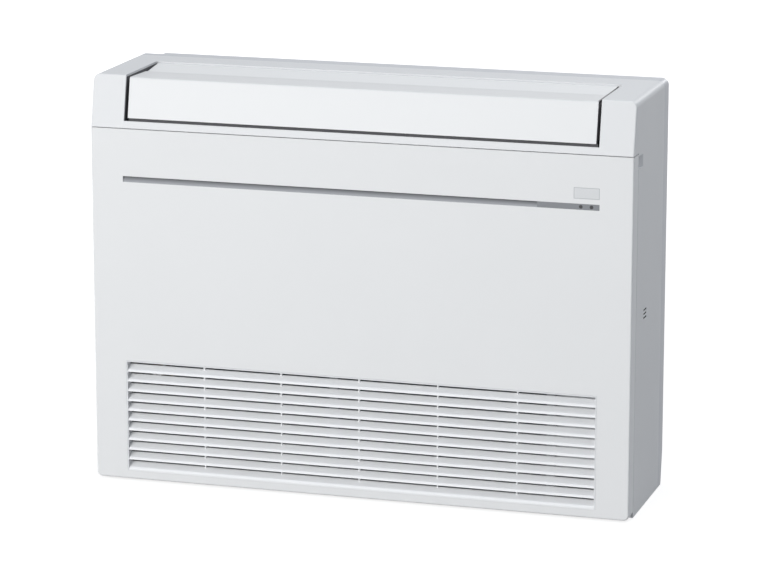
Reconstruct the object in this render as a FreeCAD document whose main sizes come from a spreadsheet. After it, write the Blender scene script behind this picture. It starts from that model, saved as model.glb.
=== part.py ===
import FreeCAD, Part
import math
import os
import re

import Sketcher

# Floor console air conditioner, in millimetres. X runs along the front, the front faces -Y, Z is up,
# and the origin is the middle of the footprint on the floor.
doc = FreeCAD.newDocument("floor_console")
sheet = doc.addObject("Spreadsheet::Sheet", "sizes")

SIZES = {
    # Whole unit
    "case_width": 800,
    "case_depth": 215,
    "case_height": 600,
    "wall": 3,
    "seam_gap": 1.2,
    "edge_round": 2.5,
    "side_round": 10,
    "overrun": 6,
    "loose_fit": 0.3,
    "turning_fit": 0.05,
    # Casing
    "crown_tall": 75,
    "lip_tall": 10,
    "outlet_margin": 50,
    "housing_inset": 24,
    "deck_fold": 8,
    "notch_drop": 5,
    "notch_tall": 18,
    "notch_long": 28,
    "notch_deep": 9,
    "slot_long": 18,
    "slot_tall": 2.4,
    "slot_pitch": 5.7,
    # Rear base
    "base_depth": 27,
    "skirt_inset": 8,
    "skirt_tall": 50,
    "rail_inset": 36,
    "rail_deep": 12,
    "rail_step": 2,
    "wall_hole_round": 3.25,
    "boss_deep": 6,
    "boss_half": 9,
    "pipe_gate_wide": 60,
    "pipe_gate_tall": 80,
    "pipe_gate_level": 90,
    "pipe_gate_inset": 9,
    "back_rib_deep": 5,
    "back_rib_thick": 2.5,
    # Base pan
    "pan_thick": 2.5,
    "pan_flange": 14,
    # Front panel
    "panel_depth": 27,
    "panel_wall": 3,
    "panel_foot": 3,
    "foot_round": 8,
    "foot_cut": 5,
    "top_flange": 11,
    "hinge_in": 9,
    "hinge_up": 9,
    "ear_thick": 8,
    "ear_round": 6,
    "groove_margin": 48,
    "groove_drop": 78.5,
    "groove_tall": 8.5,
    "groove_deep": 4.5,
    "groove_back": 4,
    "trim_thick": 2,
    "strip_long": 89,
    "lens_round": 2.2,
    "lens_pitch": 15.5,
    "lens_inset": 11.3,
    "lens_deep": 1,
    "window_long": 37,
    "window_tall": 16,
    "window_rise": 7,
    "window_thick": 1.5,
    "window_rim": 2.5,
    # Intake grille
    "grille_margin": 48,
    "grille_foot": 15.5,
    "grille_deep": 15,
    "grille_rim": 2,
    "grille_flange": 5,
    "grille_fit": 0.2,
    "slat_foot": 1.8,
    "slat_depth": 12.5,
    "rib_thick": 2,
    "rib_setback": 10,
    # Panel hinge
    "hinge_pin_round": 3.5,
    "bracket_rise": 5,
    "bracket_wide": 10,
    "bracket_gap": 1,
    "bracket_foot": 22,
    "bracket_drop": 3,
    "catch_wide": 20,
    "catch_deep": 12,
    "catch_tall": 14,
    "catch_inset": 4,
    # Air vanes
    "vane_gap": 5,
    "vane_foot_gap": 4.2,
    "vane_drop": 3,
    "vane_recess": 2,
    "vane_thick": 4,
    "vane_barrel": 6,
    "upper_barrel": 7,
    "upper_drop": 1.5,
    "vane_fall": 2,
    "upper_dip": 3.2,
    "vane_pin": 3,
    "vane_split": 1.5,
    "vane_nose_round": 3,
    "cheek_thick": 3,
    "upper_back_gap": 0.8,
    "vane_pin_long": 11,
    "vane_motor_round": 12,
    "vane_motor_long": 22,
    "vane_motor_offset": 8,
    # Fan and its housing
    "fan_drop": 168,
    "housing_room": 20,
    "fan_blade_deep": 13,
    "fan_blade_thick": 1.3,
    "fan_disc": 3,
    "fan_left_gap": 4,
    "fan_right_gap": 4,
    "shaft_round": 4,
    "shaft_hole": 6,
    "shaft_left_long": 17,
    "shaft_right_long": 22,
    "scroll_gap": 10,
    "scroll_thick": 2.5,
    "scroll_start": -110,
    "scroll_sweep": 125,
    "bearing_round": 12,
    "bearing_long": 10,
    "motor_room": 72,
    "motor_long": 54,
    "motor_boss_round": 16,
    "motor_boss_long": 5,
    "motor_clear": 6,
    "cradle_wide": 34,
    "cradle_tall": 50,
    # Outlet nozzle and deflectors
    "nozzle_clear": 3.6,
    "nose_gap": 5.47,
    "nose_turn": 15.36,
    "nozzle_thick": 3,
    "nose_round": 4,
    "tongue_tall": 62,
    "blade_pivot": 40,
    "blade_lead": 6,
    "blade_trail": 34,
    "blade_tall": 42,
    "blade_thick": 1.6,
    "blade_lift": 1,
    "blade_pin": 2,
    "blade_seat": 6,
    "link_arm": 20,
    "link_pin": 1.5,
    "link_thick": 3,
    "link_gap": 0.6,
    "link_wide": 14,
    "link_slack": 0.5,
    "link_travel": 2.4,
    # Heat exchanger
    "coil_gap": 10,
    "coil_head_gap": 11.4,
    "coil_thick": 27,
    "coil_left_room": 78,
    "coil_right_room": 142,
    "coil_plate": 1.5,
    "coil_plate_rim": 2,
    "coil_tab_tall": 40,
    "tube_first": 14,
    "tube_round": 3.5,
    "gas_round": 4.76,
    "liquid_round": 3.18,
    "pipe_bend": 22,
    "gas_out": 52,
    "liquid_out": 36,
    "gas_fall": 55,
    "pipe_end_gap": 12,
    "nut_round": 9,
    "nut_long": 13,
    # Drain
    "drain_level": 56,
    "drain_tall": 28,
    "drain_left_room": 60,
    "drain_right_room": 125,
    "drain_wall": 2.5,
    "spigot_round": 8,
    "spigot_bore": 6,
    "spigot_long": 25,
    "spigot_rise": 10,
    # Filters
    "rail_wide": 12,
    "rail_thick": 10,
    "rail_front_gap": 0.5,
    "rail_head_gap": 37.5,
    "filter_head_gap": 8.5,
    "rail_stop": 19.5,
    "rail_lap": 4,
    "rail_left_room": 30,
    "rail_right_room": 118,
    "filter_thick": 4.4,
    "filter_rim": 8,
    "filter_bar": 1.8,
    "filter_bar_thick": 2,
    "filter_tab_wide": 40,
    "filter_tab_tall": 12,
    # Electrical box
    "control_side_gap": 22,
    "control_head_gap": 10,
    "control_wide": 90,
    "control_level": 62,
    "control_wall": 1.5,
    "control_tab": 30,
    "control_back_gap": 38,
    "cover_clear": 3.3,
    "cover_thick": 2,
    "cover_lip": 10,
    "board_thick": 1.6,
    "board_margin": 8,
    "board_stand": 10,
    "stand_half": 3,
    "terminal_tall": 30,
    "terminal_deep": 22,
    "terminal_margin": 12,
    # Display board and button
    "display_lead": 52,
    "display_foot": 10.5,
    "display_wide": 72,
    "display_setback": 20,
    "display_thick": 2.5,
    "display_flange": 8,
    "display_board_tall": 72,
    "eye_round": 4,
    "eye_long": 6,
    "button_inset": 14,
    "button_drop": 29,
    "button_round": 4,
    "button_long": 5,
    "button_travel": 2,
    "collar_thick": 2,
    "collar_long": 5,
    # Room sensor and screws
    "sensor_wide": 20,
    "sensor_tall": 10,
    "sensor_deep": 9,
    "sensor_rise": 4,
    "sensor_bulb": 2,
    "screw_head": 4,
    "screw_head_thick": 2.2,
    "screw_level": 9,
    "screw_inset": 28,
}
slat_count = 11
rib_count = 5
fan_blade_count = 20
fan_ring_count = 1
deflector_count = 6
tube_count = 12
filter_column_count = 3
filter_row_count = 4

# What follows from the sizes above. Shares place the inner works in the depth and height of the case.
depth_shares = {
    "outlet_depth": 0.6512,
    "slot_setback": 0.3442,
    "vane_reach": 0.3744,
    "fan_setback": 0.5651,
    "fan_round": 0.2326,
    "motor_round": 0.2,
    "coil_setback": 0.686,
    "coil_run": 0.4354,
    "pipe_drop_setback": 0.7767,
    "drain_setback": 0.5581,
    "spigot_setback": 0.8698,
}
height_shares = {
    "slot_level": 0.4642,
    "wall_hole_level": 0.2,
    "wall_hole_rise": 0.6,
    "grille_tall": 0.277,
    "coil_tab_level": 0.3583,
}
slat_shares = {"slat_nose": 0.01925, "slat_thick": 0.01324, "slat_rise": 0.04212}
hole_span_share = 0.75
lean_share = 0.2
DERIVED = {
    "seam_height": "case_height - crown_tall",
    "top_lean": f"crown_tall * {lean_share}",
    "groove_level": "seam_height - groove_drop",
    "slat_pitch": f"(grille_tall - 2 * grille_fit - grille_rim - slat_foot) / {slat_count}",
    "fan_level": "case_height - fan_drop",
    "housing_drop": "fan_round + housing_room",
    "nose_reach": "fan_round + nose_gap",
    "nozzle_run": "fan_setback - nose_reach * cos(nose_turn) - panel_depth - seam_gap - nozzle_clear",
    "nozzle_fall": "seam_height + wall - fan_level - nose_reach * sin(nose_turn)",
    "nozzle_angle": "atan(nozzle_run / nozzle_fall)",
    "nozzle_long": "nozzle_fall / cos(nozzle_angle)",
    "wall_hole_span": f"case_width * {hole_span_share}",
    "coil_level": "drain_level + drain_tall + coil_gap",
    "coil_rise": "fan_level - fan_round - coil_head_gap - coil_level",
    "coil_tilt": "atan(coil_run / coil_rise)",
    "coil_tall": "coil_rise / cos(coil_tilt)",
    "tube_pitch": f"(coil_tall - 2 * tube_first) / {tube_count - 1}",
    "gas_end_level": "pipe_gate_level + pipe_gate_tall / 2",
    "rail_tall": "fan_level - fan_round - rail_head_gap - pan_thick",
    "filter_tall": "rail_tall - rail_stop - filter_head_gap",
    "control_left": "case_width / 2 - wall - control_side_gap - control_wide",
    "control_tall": "fan_level - housing_drop - control_head_gap - control_level",
    "display_left": "case_width / 2 - groove_margin - display_lead",
    "display_low": "groove_level - display_foot",
    "button_left": "case_width / 2 - groove_margin - button_inset",
    "button_level": "seam_height - button_drop",
}
for whole, shares in (
    ("case_depth", depth_shares), ("case_height", height_shares), ("grille_tall", slat_shares)
):
    for part, share in shares.items():
        DERIVED[part] = f"{whole} * {share}"

for row, (alias, value) in enumerate(SIZES.items(), start=1):
    sheet.set(f"A{row}", alias)
    sheet.set(f"B{row}", str(value))
    sheet.setAlias(f"B{row}", alias)
doc.recompute()


def ex(text):
    """An expression on the sheet, from one written with bare size names."""

    def spelled(match):
        name = match[0]
        if name in DERIVED:
            return f"({ex(DERIVED[name])})"
        return f"sizes.{name}" if name in SIZES else name

    return re.sub(r"[a-z]\w*", spelled, str(text))


def num(text):
    return float(sheet.evalExpression(ex(text)))


def place(obj, x, y, z):
    for axis, text in zip("xyz", (x, y, z)):
        obj.setExpression(f"Placement.Base.{axis}", ex(text))


def box(x, y, z):
    """A block between low and high expressions on each axis."""
    block = doc.addObject("Part::Box", "block")
    for side, (low, high) in zip(("Length", "Width", "Height"), (x, y, z)):
        block.setExpression(side, ex(f"({high}) - ({low})"))
    place(block, x[0], y[0], z[0])
    return block


def axes(ax, ay, az):
    vectors = [FreeCAD.Vector(*v) for v in (ax, ay, az)]
    return FreeCAD.Rotation(*vectors, "ZXY")


ALONG = {
    "x": axes((0, 1, 0), (0, 0, 1), (1, 0, 0)),
    "y": axes((0, 0, 1), (1, 0, 0), (0, 1, 0)),
    "z": axes((1, 0, 0), (0, 1, 0), (0, 0, 1)),
}


def bar_of(radius, length, sides):
    """A round bar, or a prism with that many sides, standing on the origin."""
    bar = doc.addObject("Part::Prism" if sides else "Part::Cylinder", "bar")
    if sides:
        bar.Polygon = sides
    bar.setExpression("Circumradius" if sides else "Radius", ex(radius))
    bar.setExpression("Height", ex(length))
    return bar


def rod(along, radius, span, centre, sides=None):
    """A round bar, or a prism with that many sides, along one axis."""
    bar = bar_of(radius, f"({span[1]}) - ({span[0]})", sides)
    bar.Placement.Rotation = ALONG[along]
    first, second = centre
    places = {"x": (span[0], first, second), "y": (first, span[0], second), "z": (first, second, span[0])}
    place(bar, *places[along])
    return bar


def sector(radius, start, sweep, span, centre):
    """A wedge of a cylinder along X, from a start angle measured from +Y towards +Z."""
    wedge = doc.addObject("Part::Cylinder", "sector")
    wedge.setExpression("Radius", ex(radius))
    wedge.setExpression("Height", ex(f"({span[1]}) - ({span[0]})"))
    wedge.setExpression("Angle", ex(sweep))
    turn = math.radians(num(start))
    wedge.Placement.Rotation = axes(
        (0, math.cos(turn), math.sin(turn)), (0, -math.sin(turn), math.cos(turn)), (1, 0, 0)
    )
    place(wedge, span[0], *centre)
    return wedge


def in_frame(frame, y, z):
    """Row place of a point given across (y) and along (z) a leaning frame."""
    origin_y, origin_z, lean = frame
    return (
        f"({origin_y}) + ({y}) * cos({lean}) - ({z}) * sin({lean})",
        f"({origin_z}) + ({y}) * sin({lean}) + ({z}) * cos({lean})",
    )


def leaning_box(frame, x, y, z):
    block = box(x, y, z)
    block.Placement.Rotation = FreeCAD.Rotation(FreeCAD.Vector(1, 0, 0), num(frame[2]))
    block.setExpression("Placement.Rotation.Angle", ex(frame[2]))
    place(block, x[0], *in_frame(frame, y[0], z[0]))
    return block


def leaning_rod(frame, radius, x, y, z, sides=None):
    """A round bar or a prism across a leaning frame, from y low to y high at x and z."""
    bar = bar_of(radius, f"({y[1]}) - ({y[0]})", sides)
    lean = math.radians(num(frame[2]))
    along = (0, math.cos(lean), math.sin(lean))
    up = (0, -math.sin(lean), math.cos(lean))
    bar.Placement.Rotation = axes(up, (1, 0, 0), along)
    place(bar, x, *in_frame(frame, y[0], z))
    return bar


def fuse(*pieces):
    joined = doc.addObject("Part::MultiFuse", "joined")
    joined.Shapes = list(pieces)
    joined.Refine = True
    return joined


def cut(base, *tools):
    left = doc.addObject("Part::Cut", "cut")
    left.Base = base
    left.Tool = tools[0] if len(tools) == 1 else fuse(*tools)
    left.Refine = True
    return left


def sketch_on(body, plane, offset, loops):
    """A fully placed sketch of straight-sided loops on one of the body's own origin planes."""
    sketch = body.newObject("Sketcher::SketchObject", "outline")
    origin = [p for p in body.Origin.OriginFeatures if p.Role == plane][0]
    sketch.AttachmentSupport = (origin, [""])
    sketch.MapMode = "FlatFace"
    sketch.setExpression("AttachmentOffset.Base.z", ex(offset))
    for loop in loops:
        corners = [FreeCAD.Vector(num(a), num(b), 0) for a, b in loop]
        first = sketch.GeometryCount
        count = len(loop)
        for k in range(count):
            sketch.addGeometry(Part.LineSegment(corners[k], corners[(k + 1) % count]), False)
        for k in range(count):
            sketch.addConstraint(Sketcher.Constraint("Coincident", first + k, 2, first + (k + 1) % count, 1))
        for k, (a, b) in enumerate(loop):
            for kind, text, value in (("DistanceX", a, corners[k].x), ("DistanceY", b, corners[k].y)):
                number = sketch.addConstraint(Sketcher.Constraint(kind, -1, 1, first + k, 1, value))
                sketch.setExpression(f"Constraints[{number}]", ex(text))
    return sketch


def pad(body, plane, span, *loops):
    """A pad of those loops between two places on the plane's own axis."""
    low, high = span
    # The XZ plane's normal points along -Y.
    offset = f"-({high})" if plane == "XZ_Plane" else low
    feature = body.newObject("PartDesign::Pad", "pad")
    feature.Profile = sketch_on(body, plane, offset, loops)
    feature.setExpression("Length", ex(f"({high}) - ({low})"))
    doc.recompute()
    return feature


def new_body():
    return doc.addObject("PartDesign::Body", "body")


def prism(plane, span, *loops):
    body = new_body()
    pad(body, plane, span, *loops)
    return body


def repeat(body, feature, role, length, count):
    pattern = body.newObject("PartDesign::LinearPattern", "pattern")
    pattern.Originals = [feature]
    axis = [p for p in body.Origin.OriginFeatures if p.Role == role][0]
    pattern.Direction = (axis, [""])
    pattern.setExpression("Length", ex(length))
    pattern.Occurrences = count
    body.Tip = pattern
    doc.recompute()
    return pattern


def edges_where(shape, test):
    return [f"Edge{k}" for k, edge in enumerate(shape.Edges, start=1) if test(edge)]


def round_edges(body, radius, test):
    feature = body.Tip
    rounded = body.newObject("PartDesign::Fillet", "rounded")
    rounded.Base = (feature, edges_where(feature.Shape, test))
    rounded.setExpression("Radius", ex(radius))
    doc.recompute()
    return rounded


def at(edge, **places):
    """Whether all of an edge lies at the given x, y or z."""
    bounds = edge.BoundBox
    near = num("edge_round") / 100
    for axis, text in places.items():
        wanted = num(text)
        low = getattr(bounds, f"{axis.upper()}Min")
        high = getattr(bounds, f"{axis.upper()}Max")
        if abs(low - wanted) > near or abs(high - wanted) > near:
            return False
    return True


def rectangle(a, b):
    return [(a[0], b[0]), (a[1], b[0]), (a[1], b[1]), (a[0], b[1])]


def on_side(side, low, high):
    """An X span on the right (+1) or its mirror image on the left (-1)."""
    return (low, high) if side > 0 else (f"-({high})", f"-({low})")


def group(*pieces):
    together = doc.addObject("Part::Compound", "group")
    together.Links = list(pieces)
    return together


nodes = {}


def node(name, piece):
    piece.Label = name
    nodes[name] = piece


# Planes and lines that several pieces share
HALF = "case_width / 2"
INNER = "(case_width / 2 - wall)"
FRONT = "(-case_depth / 2)"
BACK = "(case_depth / 2)"
PANEL_BACK = f"({FRONT} + panel_depth)"
CASE_FRONT = f"({PANEL_BACK} + seam_gap)"
CASE_BACK = f"({BACK} - base_depth)"
BACK_WALL = f"({BACK} - wall)"
OUTLET = f"({HALF} - outlet_margin)"
OUTLET_BACK = f"({FRONT} + outlet_depth)"
OUTLET_LOW = "(seam_height + lip_tall)"
LEAN_RATE = "(top_lean / (case_height - seam_height))"
PAST = "overrun"


# Casing: one white moulding of both side walls, the top deck and the shoulders, open in front for the
# panel, behind for the rear base and on top for the air outlet. Its front leans back above the seam.
def shell_profile(top, front, low, seam, side_front):
    return [
        (side_front, low),
        (f"{CASE_BACK} + {PAST} * {0 if top == 'case_height' else 1}", low),
        (f"{CASE_BACK} + {PAST} * {0 if top == 'case_height' else 1}", top),
        (f"{front} + top_lean", top),
        (front, seam),
        (side_front, seam),
    ]


shell = prism(
    "YZ_Plane", (f"-{HALF}", HALF), shell_profile("case_height", FRONT, "0", "seam_height", CASE_FRONT)
)
for side in (f"-{HALF}", HALF):
    round_edges(shell, "side_round", lambda e: at(e, x=side, z="case_height"))


def on_leaning_front(edge):
    points = [v.Point for v in edge.Vertexes]
    near = num("edge_round") / 100
    leaning = [
        abs(p.y - num(f"{FRONT}") - num(LEAN_RATE) * (p.z - num("seam_height"))) < near
        for p in points
    ]
    return all(leaning) and not at(edge, z="seam_height")


round_edges(shell, "edge_round", on_leaning_front)
hollow = prism(
    "YZ_Plane",
    (f"-{INNER}", INNER),
    shell_profile("case_height - wall", f"({FRONT} + wall)", f"-{PAST}", "seam_height + wall", CASE_FRONT),
)
for side in (f"-{INNER}", INNER):
    round_edges(hollow, "side_round - wall", lambda e: at(e, x=side, z="case_height - wall"))
outlet_hole = box(
    (f"-{OUTLET}", OUTLET), (f"{FRONT} - {PAST}", OUTLET_BACK), (OUTLET_LOW, f"case_height + {PAST}")
)
casing_adds = [
    box(
        (f"-{OUTLET} - wall", f"{OUTLET} + wall"),
        (OUTLET_BACK, f"{OUTLET_BACK} + wall"),
        ("case_height - deck_fold", "case_height - wall / 2"),
    )
]
casing_cuts = []
NOTCH_TOP = "(seam_height - notch_drop)"
NOTCH_LOW = "(seam_height - notch_drop - notch_tall)"
VANE_Y = f"({FRONT} + vane_reach)"
VANE_TOP = "(case_height - vane_drop)"
VANE_REAR = f"({VANE_TOP} - vane_fall)"
VANE_Z = f"({VANE_REAR} - vane_barrel)"
UPPER_Y = f"({OUTLET_BACK} - upper_back_gap - upper_barrel)"
UPPER_TOP = "(case_height - upper_drop)"
UPPER_Z = "(case_height - upper_drop - upper_barrel)"
for side in (-1, 1):
    # Finger notch behind the panel's edge: a cup inside the wall with a wedge scooped out of it
    casing_adds.append(
        box(
            on_side(side, f"{INNER} - notch_deep", INNER),
            (CASE_FRONT, f"{CASE_FRONT} + notch_long + wall"),
            (f"{NOTCH_LOW} - wall", f"{NOTCH_TOP} + wall"),
        )
    )
    scoop = [
        (f"{side} * ({INNER} - notch_deep + wall)", f"{CASE_FRONT} - {PAST}"),
        (f"{side} * ({INNER} - notch_deep + wall)", CASE_FRONT),
        (f"{side} * {HALF}", f"{CASE_FRONT} + notch_long"),
        (f"{side} * ({HALF} + {PAST})", f"{CASE_FRONT} + notch_long"),
        (f"{side} * ({HALF} + {PAST})", f"{CASE_FRONT} - {PAST}"),
    ]
    casing_cuts.append(prism("XY_Plane", (NOTCH_LOW, NOTCH_TOP), scoop))
for k in range(3):
    level = f"slot_level + slot_pitch * {k}"
    casing_cuts.append(
        box(
            (f"{INNER} - {PAST}", f"{HALF} + {PAST}"),
            (f"{FRONT} + slot_setback", f"{FRONT} + slot_setback + slot_long"),
            (level, f"{level} + slot_tall"),
        )
    )
node("casing", cut(fuse(cut(shell, hollow, outlet_hole), *casing_adds), *casing_cuts))


# Rear base: a shallow shell behind the casing, drawn in at the floor to clear a skirting board, with
# bosses for the wall screws, stiffening ribs and a gate for the pipes.
def base_profile(inset, low, top, front):
    return [
        (front, low),
        (f"{BACK} - skirt_inset - {inset}", low),
        (f"{BACK} - {inset}", "skirt_tall"),
        (f"{BACK} - {inset}", top),
        (front, top),
    ]


back_shell = prism("YZ_Plane", (f"-{HALF}", HALF), base_profile("0", "0", "case_height", CASE_BACK))
for side in (f"-{HALF}", HALF):
    round_edges(back_shell, "side_round", lambda e: at(e, x=side, z="case_height"))
back_hollow = prism(
    "YZ_Plane", (f"-{INNER}", INNER), base_profile(
        "wall", "wall", "case_height - wall", f"{CASE_BACK} - {PAST}"
    )
)
for side in (f"-{INNER}", INNER):
    round_edges(back_hollow, "side_round - wall", lambda e: at(e, x=side, z="case_height - wall"))
base_adds = []
base_cuts = []
HOLE_TOP = "(wall_hole_level + wall_hole_rise)"
for hole_x in ("-wall_hole_span / 2", "wall_hole_span / 2"):
    for hole_z in ("wall_hole_level", HOLE_TOP):
        pad_x = (f"{hole_x} - boss_half", f"{hole_x} + boss_half")
        pad_z = (f"{hole_z} - boss_half", f"{hole_z} + boss_half")
        base_adds.append(box(pad_x, (f"{BACK_WALL} - boss_deep", BACK_WALL), pad_z))
        span = (f"{BACK_WALL} - boss_deep - {PAST}", f"{BACK} + {PAST}")
        base_cuts.append(rod("y", "wall_hole_round", span, (hole_x, hole_z)))
for rib_x in ("-wall_hole_span / 4", "0", "wall_hole_span / 4"):
    base_adds.append(
        box(
            (f"{rib_x} - back_rib_thick / 2", f"{rib_x} + back_rib_thick / 2"),
            (f"{BACK_WALL} - back_rib_deep", BACK_WALL),
            ("wall_hole_level", HOLE_TOP),
        )
    )
GATE = (f"-{HALF} + pipe_gate_inset", f"-{HALF} + pipe_gate_inset + pipe_gate_wide")
base_cuts.append(
    box(
        GATE,
        (f"{BACK_WALL} - {PAST}", f"{BACK} + {PAST}"),
        ("pipe_gate_level", "pipe_gate_level + pipe_gate_tall"),
    )
)
base_cuts.append(
    box(
        (f"-{HALF} - {PAST}", f"-{HALF} + rail_inset"),
        (f"{BACK} - rail_deep", f"{BACK} + {PAST}"),
        ("case_height - rail_step", f"case_height + {PAST}"),
    )
)
node("rear_base", cut(fuse(cut(back_shell, back_hollow), *base_adds), *base_cuts))

# Base pan: folded sheet steel across the bottom, with a flange up each side wall
pan_sides = [
    box(on_side(side, f"{INNER} - pan_thick", INNER), (CASE_FRONT, CASE_BACK), ("0", "pan_flange"))
    for side in (-1, 1)
]
node("base_pan", fuse(box((f"-{INNER}", INNER), (CASE_FRONT, CASE_BACK), ("0", "pan_thick")), *pan_sides))

# Front panel: a shallow white tray that tilts forward on two pins at its foot
PANEL_TOP = "(seam_height - seam_gap)"
PANEL_INNER = f"({HALF} - panel_wall)"
PIVOT_Y = f"({FRONT} + hinge_in)"
PIVOT_Z = "(panel_foot + hinge_up)"
tray = prism(
    "YZ_Plane",
    (f"-{HALF}", HALF),
    [
        (FRONT, "panel_foot"),
        (f"{PANEL_BACK} - foot_cut", "panel_foot"),
        (PANEL_BACK, "panel_foot + foot_cut"),
        (PANEL_BACK, PANEL_TOP),
        (FRONT, PANEL_TOP),
    ],
)
for side in (f"-{HALF}", HALF):
    round_edges(tray, "foot_round", lambda e: at(e, x=side, z="panel_foot"))
round_edges(tray, "edge_round", lambda e: at(e, y=FRONT) and not at(e, z=PANEL_TOP))
BEHIND_PANEL = f"{PANEL_BACK} + {PAST}"
tray_cuts = [
    box(
        (f"-{PANEL_INNER}", PANEL_INNER),
        (f"{FRONT} + panel_wall", BEHIND_PANEL),
        ("panel_foot + panel_wall", f"{PANEL_TOP} - panel_wall"),
    ),
    box(
        (f"-{PANEL_INNER}", PANEL_INNER),
        (f"{FRONT} + top_flange", BEHIND_PANEL),
        (f"{PANEL_TOP} - panel_wall - {PAST}", f"{PANEL_TOP} + {PAST}"),
    ),
    box(
        (f"-{PANEL_INNER}", PANEL_INNER),
        (PIVOT_Y, BEHIND_PANEL),
        (f"panel_foot - {PAST}", "panel_foot + panel_wall + overrun"),
    ),
]
GROOVE = f"({HALF} - groove_margin)"
GROOVE_TOP = "(groove_level + groove_tall)"
tray_adds = [
    box(
        (f"-{GROOVE} - panel_wall", f"{GROOVE} + panel_wall"),
        (f"{FRONT} + panel_wall", f"{FRONT} + groove_deep + groove_back"),
        ("groove_level - panel_wall", f"{GROOVE_TOP} + panel_wall"),
    )
]
for side in (-1, 1):
    ear_span = on_side(side, f"{PANEL_INNER} - ear_thick", PANEL_INNER)
    ear_top = rod("x", "ear_round", ear_span, (PIVOT_Y, PIVOT_Z))
    ear_root = box(
        ear_span, (f"{FRONT} + panel_wall", PIVOT_Y), ("panel_foot + panel_wall", f"{PIVOT_Z} + ear_round")
    )
    tray_adds += [ear_top, ear_root]
groove_section = [
    (f"{FRONT} - {PAST}", "groove_level"),
    (f"{FRONT} + trim_thick", "groove_level"),
    (f"{FRONT} + groove_deep + trim_thick", GROOVE_TOP),
    (f"{FRONT} - {PAST}", GROOVE_TOP),
]
WINDOW = (f"{GROOVE} - window_long", GROOVE)
WINDOW_Z = (f"{GROOVE_TOP} + window_rise", f"{GROOVE_TOP} + window_rise + window_tall")
tray_late_cuts = [
    prism("YZ_Plane", (f"-{GROOVE}", GROOVE), groove_section),
    box(WINDOW, (f"{FRONT} - {PAST}", f"{FRONT} + window_thick"), WINDOW_Z),
    box(
        (f"{WINDOW[0]} + window_rim", f"{WINDOW[1]} - window_rim"),
        (FRONT, f"{FRONT} + panel_wall + {PAST}"),
        (f"{WINDOW_Z[0]} + window_rim", f"{WINDOW_Z[1]} - window_rim"),
    ),
]
GRILLE = f"({HALF} - grille_margin)"
GRILLE_TOP = "(grille_foot + grille_tall)"
tray_late_cuts.append(
    box((f"-{GRILLE}", GRILLE), (f"{FRONT} - {PAST}", BEHIND_PANEL), ("grille_foot", GRILLE_TOP))
)
for side in (-1, 1):
    span = on_side(side, f"{PANEL_INNER} - ear_thick - {PAST}", f"{PANEL_INNER} - panel_wall / 3")
    tray_late_cuts.append(rod("x", "hinge_pin_round + turning_fit", span, (PIVOT_Y, PIVOT_Z)))
node("front_panel", cut(fuse(cut(tray, *tray_cuts), *tray_adds), *tray_late_cuts))

# Groove trim: a grey strip that leans back from the groove's lower edge
trim_section = [
    (FRONT, "groove_level"),
    (f"{FRONT} + trim_thick", "groove_level"),
    (f"{FRONT} + groove_deep + trim_thick", GROOVE_TOP),
    (f"{FRONT} + groove_deep", GROOVE_TOP),
]
node("groove_trim", prism("YZ_Plane", (f"-{GROOVE}", GROOVE), trim_section))

# Indicator strip: fills the right end of the groove flush, with two lamp lenses
STRIP = (f"{GROOVE} - strip_long", GROOVE)
strip_section = [
    (FRONT, "groove_level"),
    (f"{FRONT} + groove_deep", GROOVE_TOP),
    (FRONT, GROOVE_TOP),
]
LENS_Z = "(groove_level + groove_tall / 2)"
lenses = []
lens_seats = []
for k in range(2):
    lens_x = f"{GROOVE} - lens_inset - lens_pitch * {k}"
    centre = (lens_x, LENS_Z)
    lenses.append(rod("y", "lens_round", (FRONT, f"{FRONT} + lens_deep"), centre, sides=10))
    lens_seats.append(
        rod("y", "lens_round", (f"{FRONT} - {PAST}", f"{FRONT} + lens_deep"), centre, sides=10)
    )
node("indicator_strip", cut(prism("YZ_Plane", STRIP, strip_section), *lens_seats))
node("led_lenses", group(*lenses))

# Receiver window: a thin plate let in flush above the strip
node("receiver_window", box(WINDOW, (FRONT, f"{FRONT} + window_thick"), WINDOW_Z))

# Intake grille: a rimmed frame with a flange behind the panel, slats that fall towards the front and end
# in a steeper nose, and thin upright ribs at their rear edges
grille = new_body()
GRILLE_HALF = f"({GRILLE} - grille_fit)"
GRILLE_Z = ("grille_foot + grille_fit", f"{GRILLE_TOP} - grille_fit")
RIM_HALF = f"({GRILLE_HALF} - grille_rim)"
RIM_Z = (f"{GRILLE_Z[0]} + grille_rim", f"{GRILLE_Z[1]} - grille_rim")
pad(
    grille,
    "XZ_Plane",
    (FRONT, f"{FRONT} + grille_deep"),
    rectangle((f"-{GRILLE_HALF}", GRILLE_HALF), GRILLE_Z),
    rectangle((f"-{RIM_HALF}", RIM_HALF), RIM_Z),
)
pad(
    grille,
    "XZ_Plane",
    (f"{FRONT} + panel_wall", f"{FRONT} + panel_wall + grille_rim"),
    rectangle(
        (f"-{GRILLE_HALF} - grille_flange", f"{GRILLE_HALF} + grille_flange"),
        (f"{GRILLE_Z[0]} - grille_flange", f"{GRILLE_Z[1]} + grille_flange"),
    ),
    rectangle((f"-{RIM_HALF}", RIM_HALF), RIM_Z),
)
SLAT_Z = "(grille_foot + grille_fit + slat_foot)"
slat_back = f"{FRONT} + slat_depth"
slat = pad(
    grille,
    "YZ_Plane",
    (f"-{RIM_HALF} - grille_rim / 2", f"{RIM_HALF} + grille_rim / 2"),
    [
        (FRONT, SLAT_Z),
        (slat_back, f"{SLAT_Z} + slat_rise"),
        (slat_back, f"{SLAT_Z} + slat_rise + slat_thick"),
        (f"{FRONT} + slat_nose * 2 / 3", f"{SLAT_Z} + slat_nose"),
    ],
)
repeat(grille, slat, "Z_Axis", f"slat_pitch * {slat_count - 1}", slat_count)
RIB_PITCH = f"(2 * {GRILLE} / {rib_count + 1})"
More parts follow.
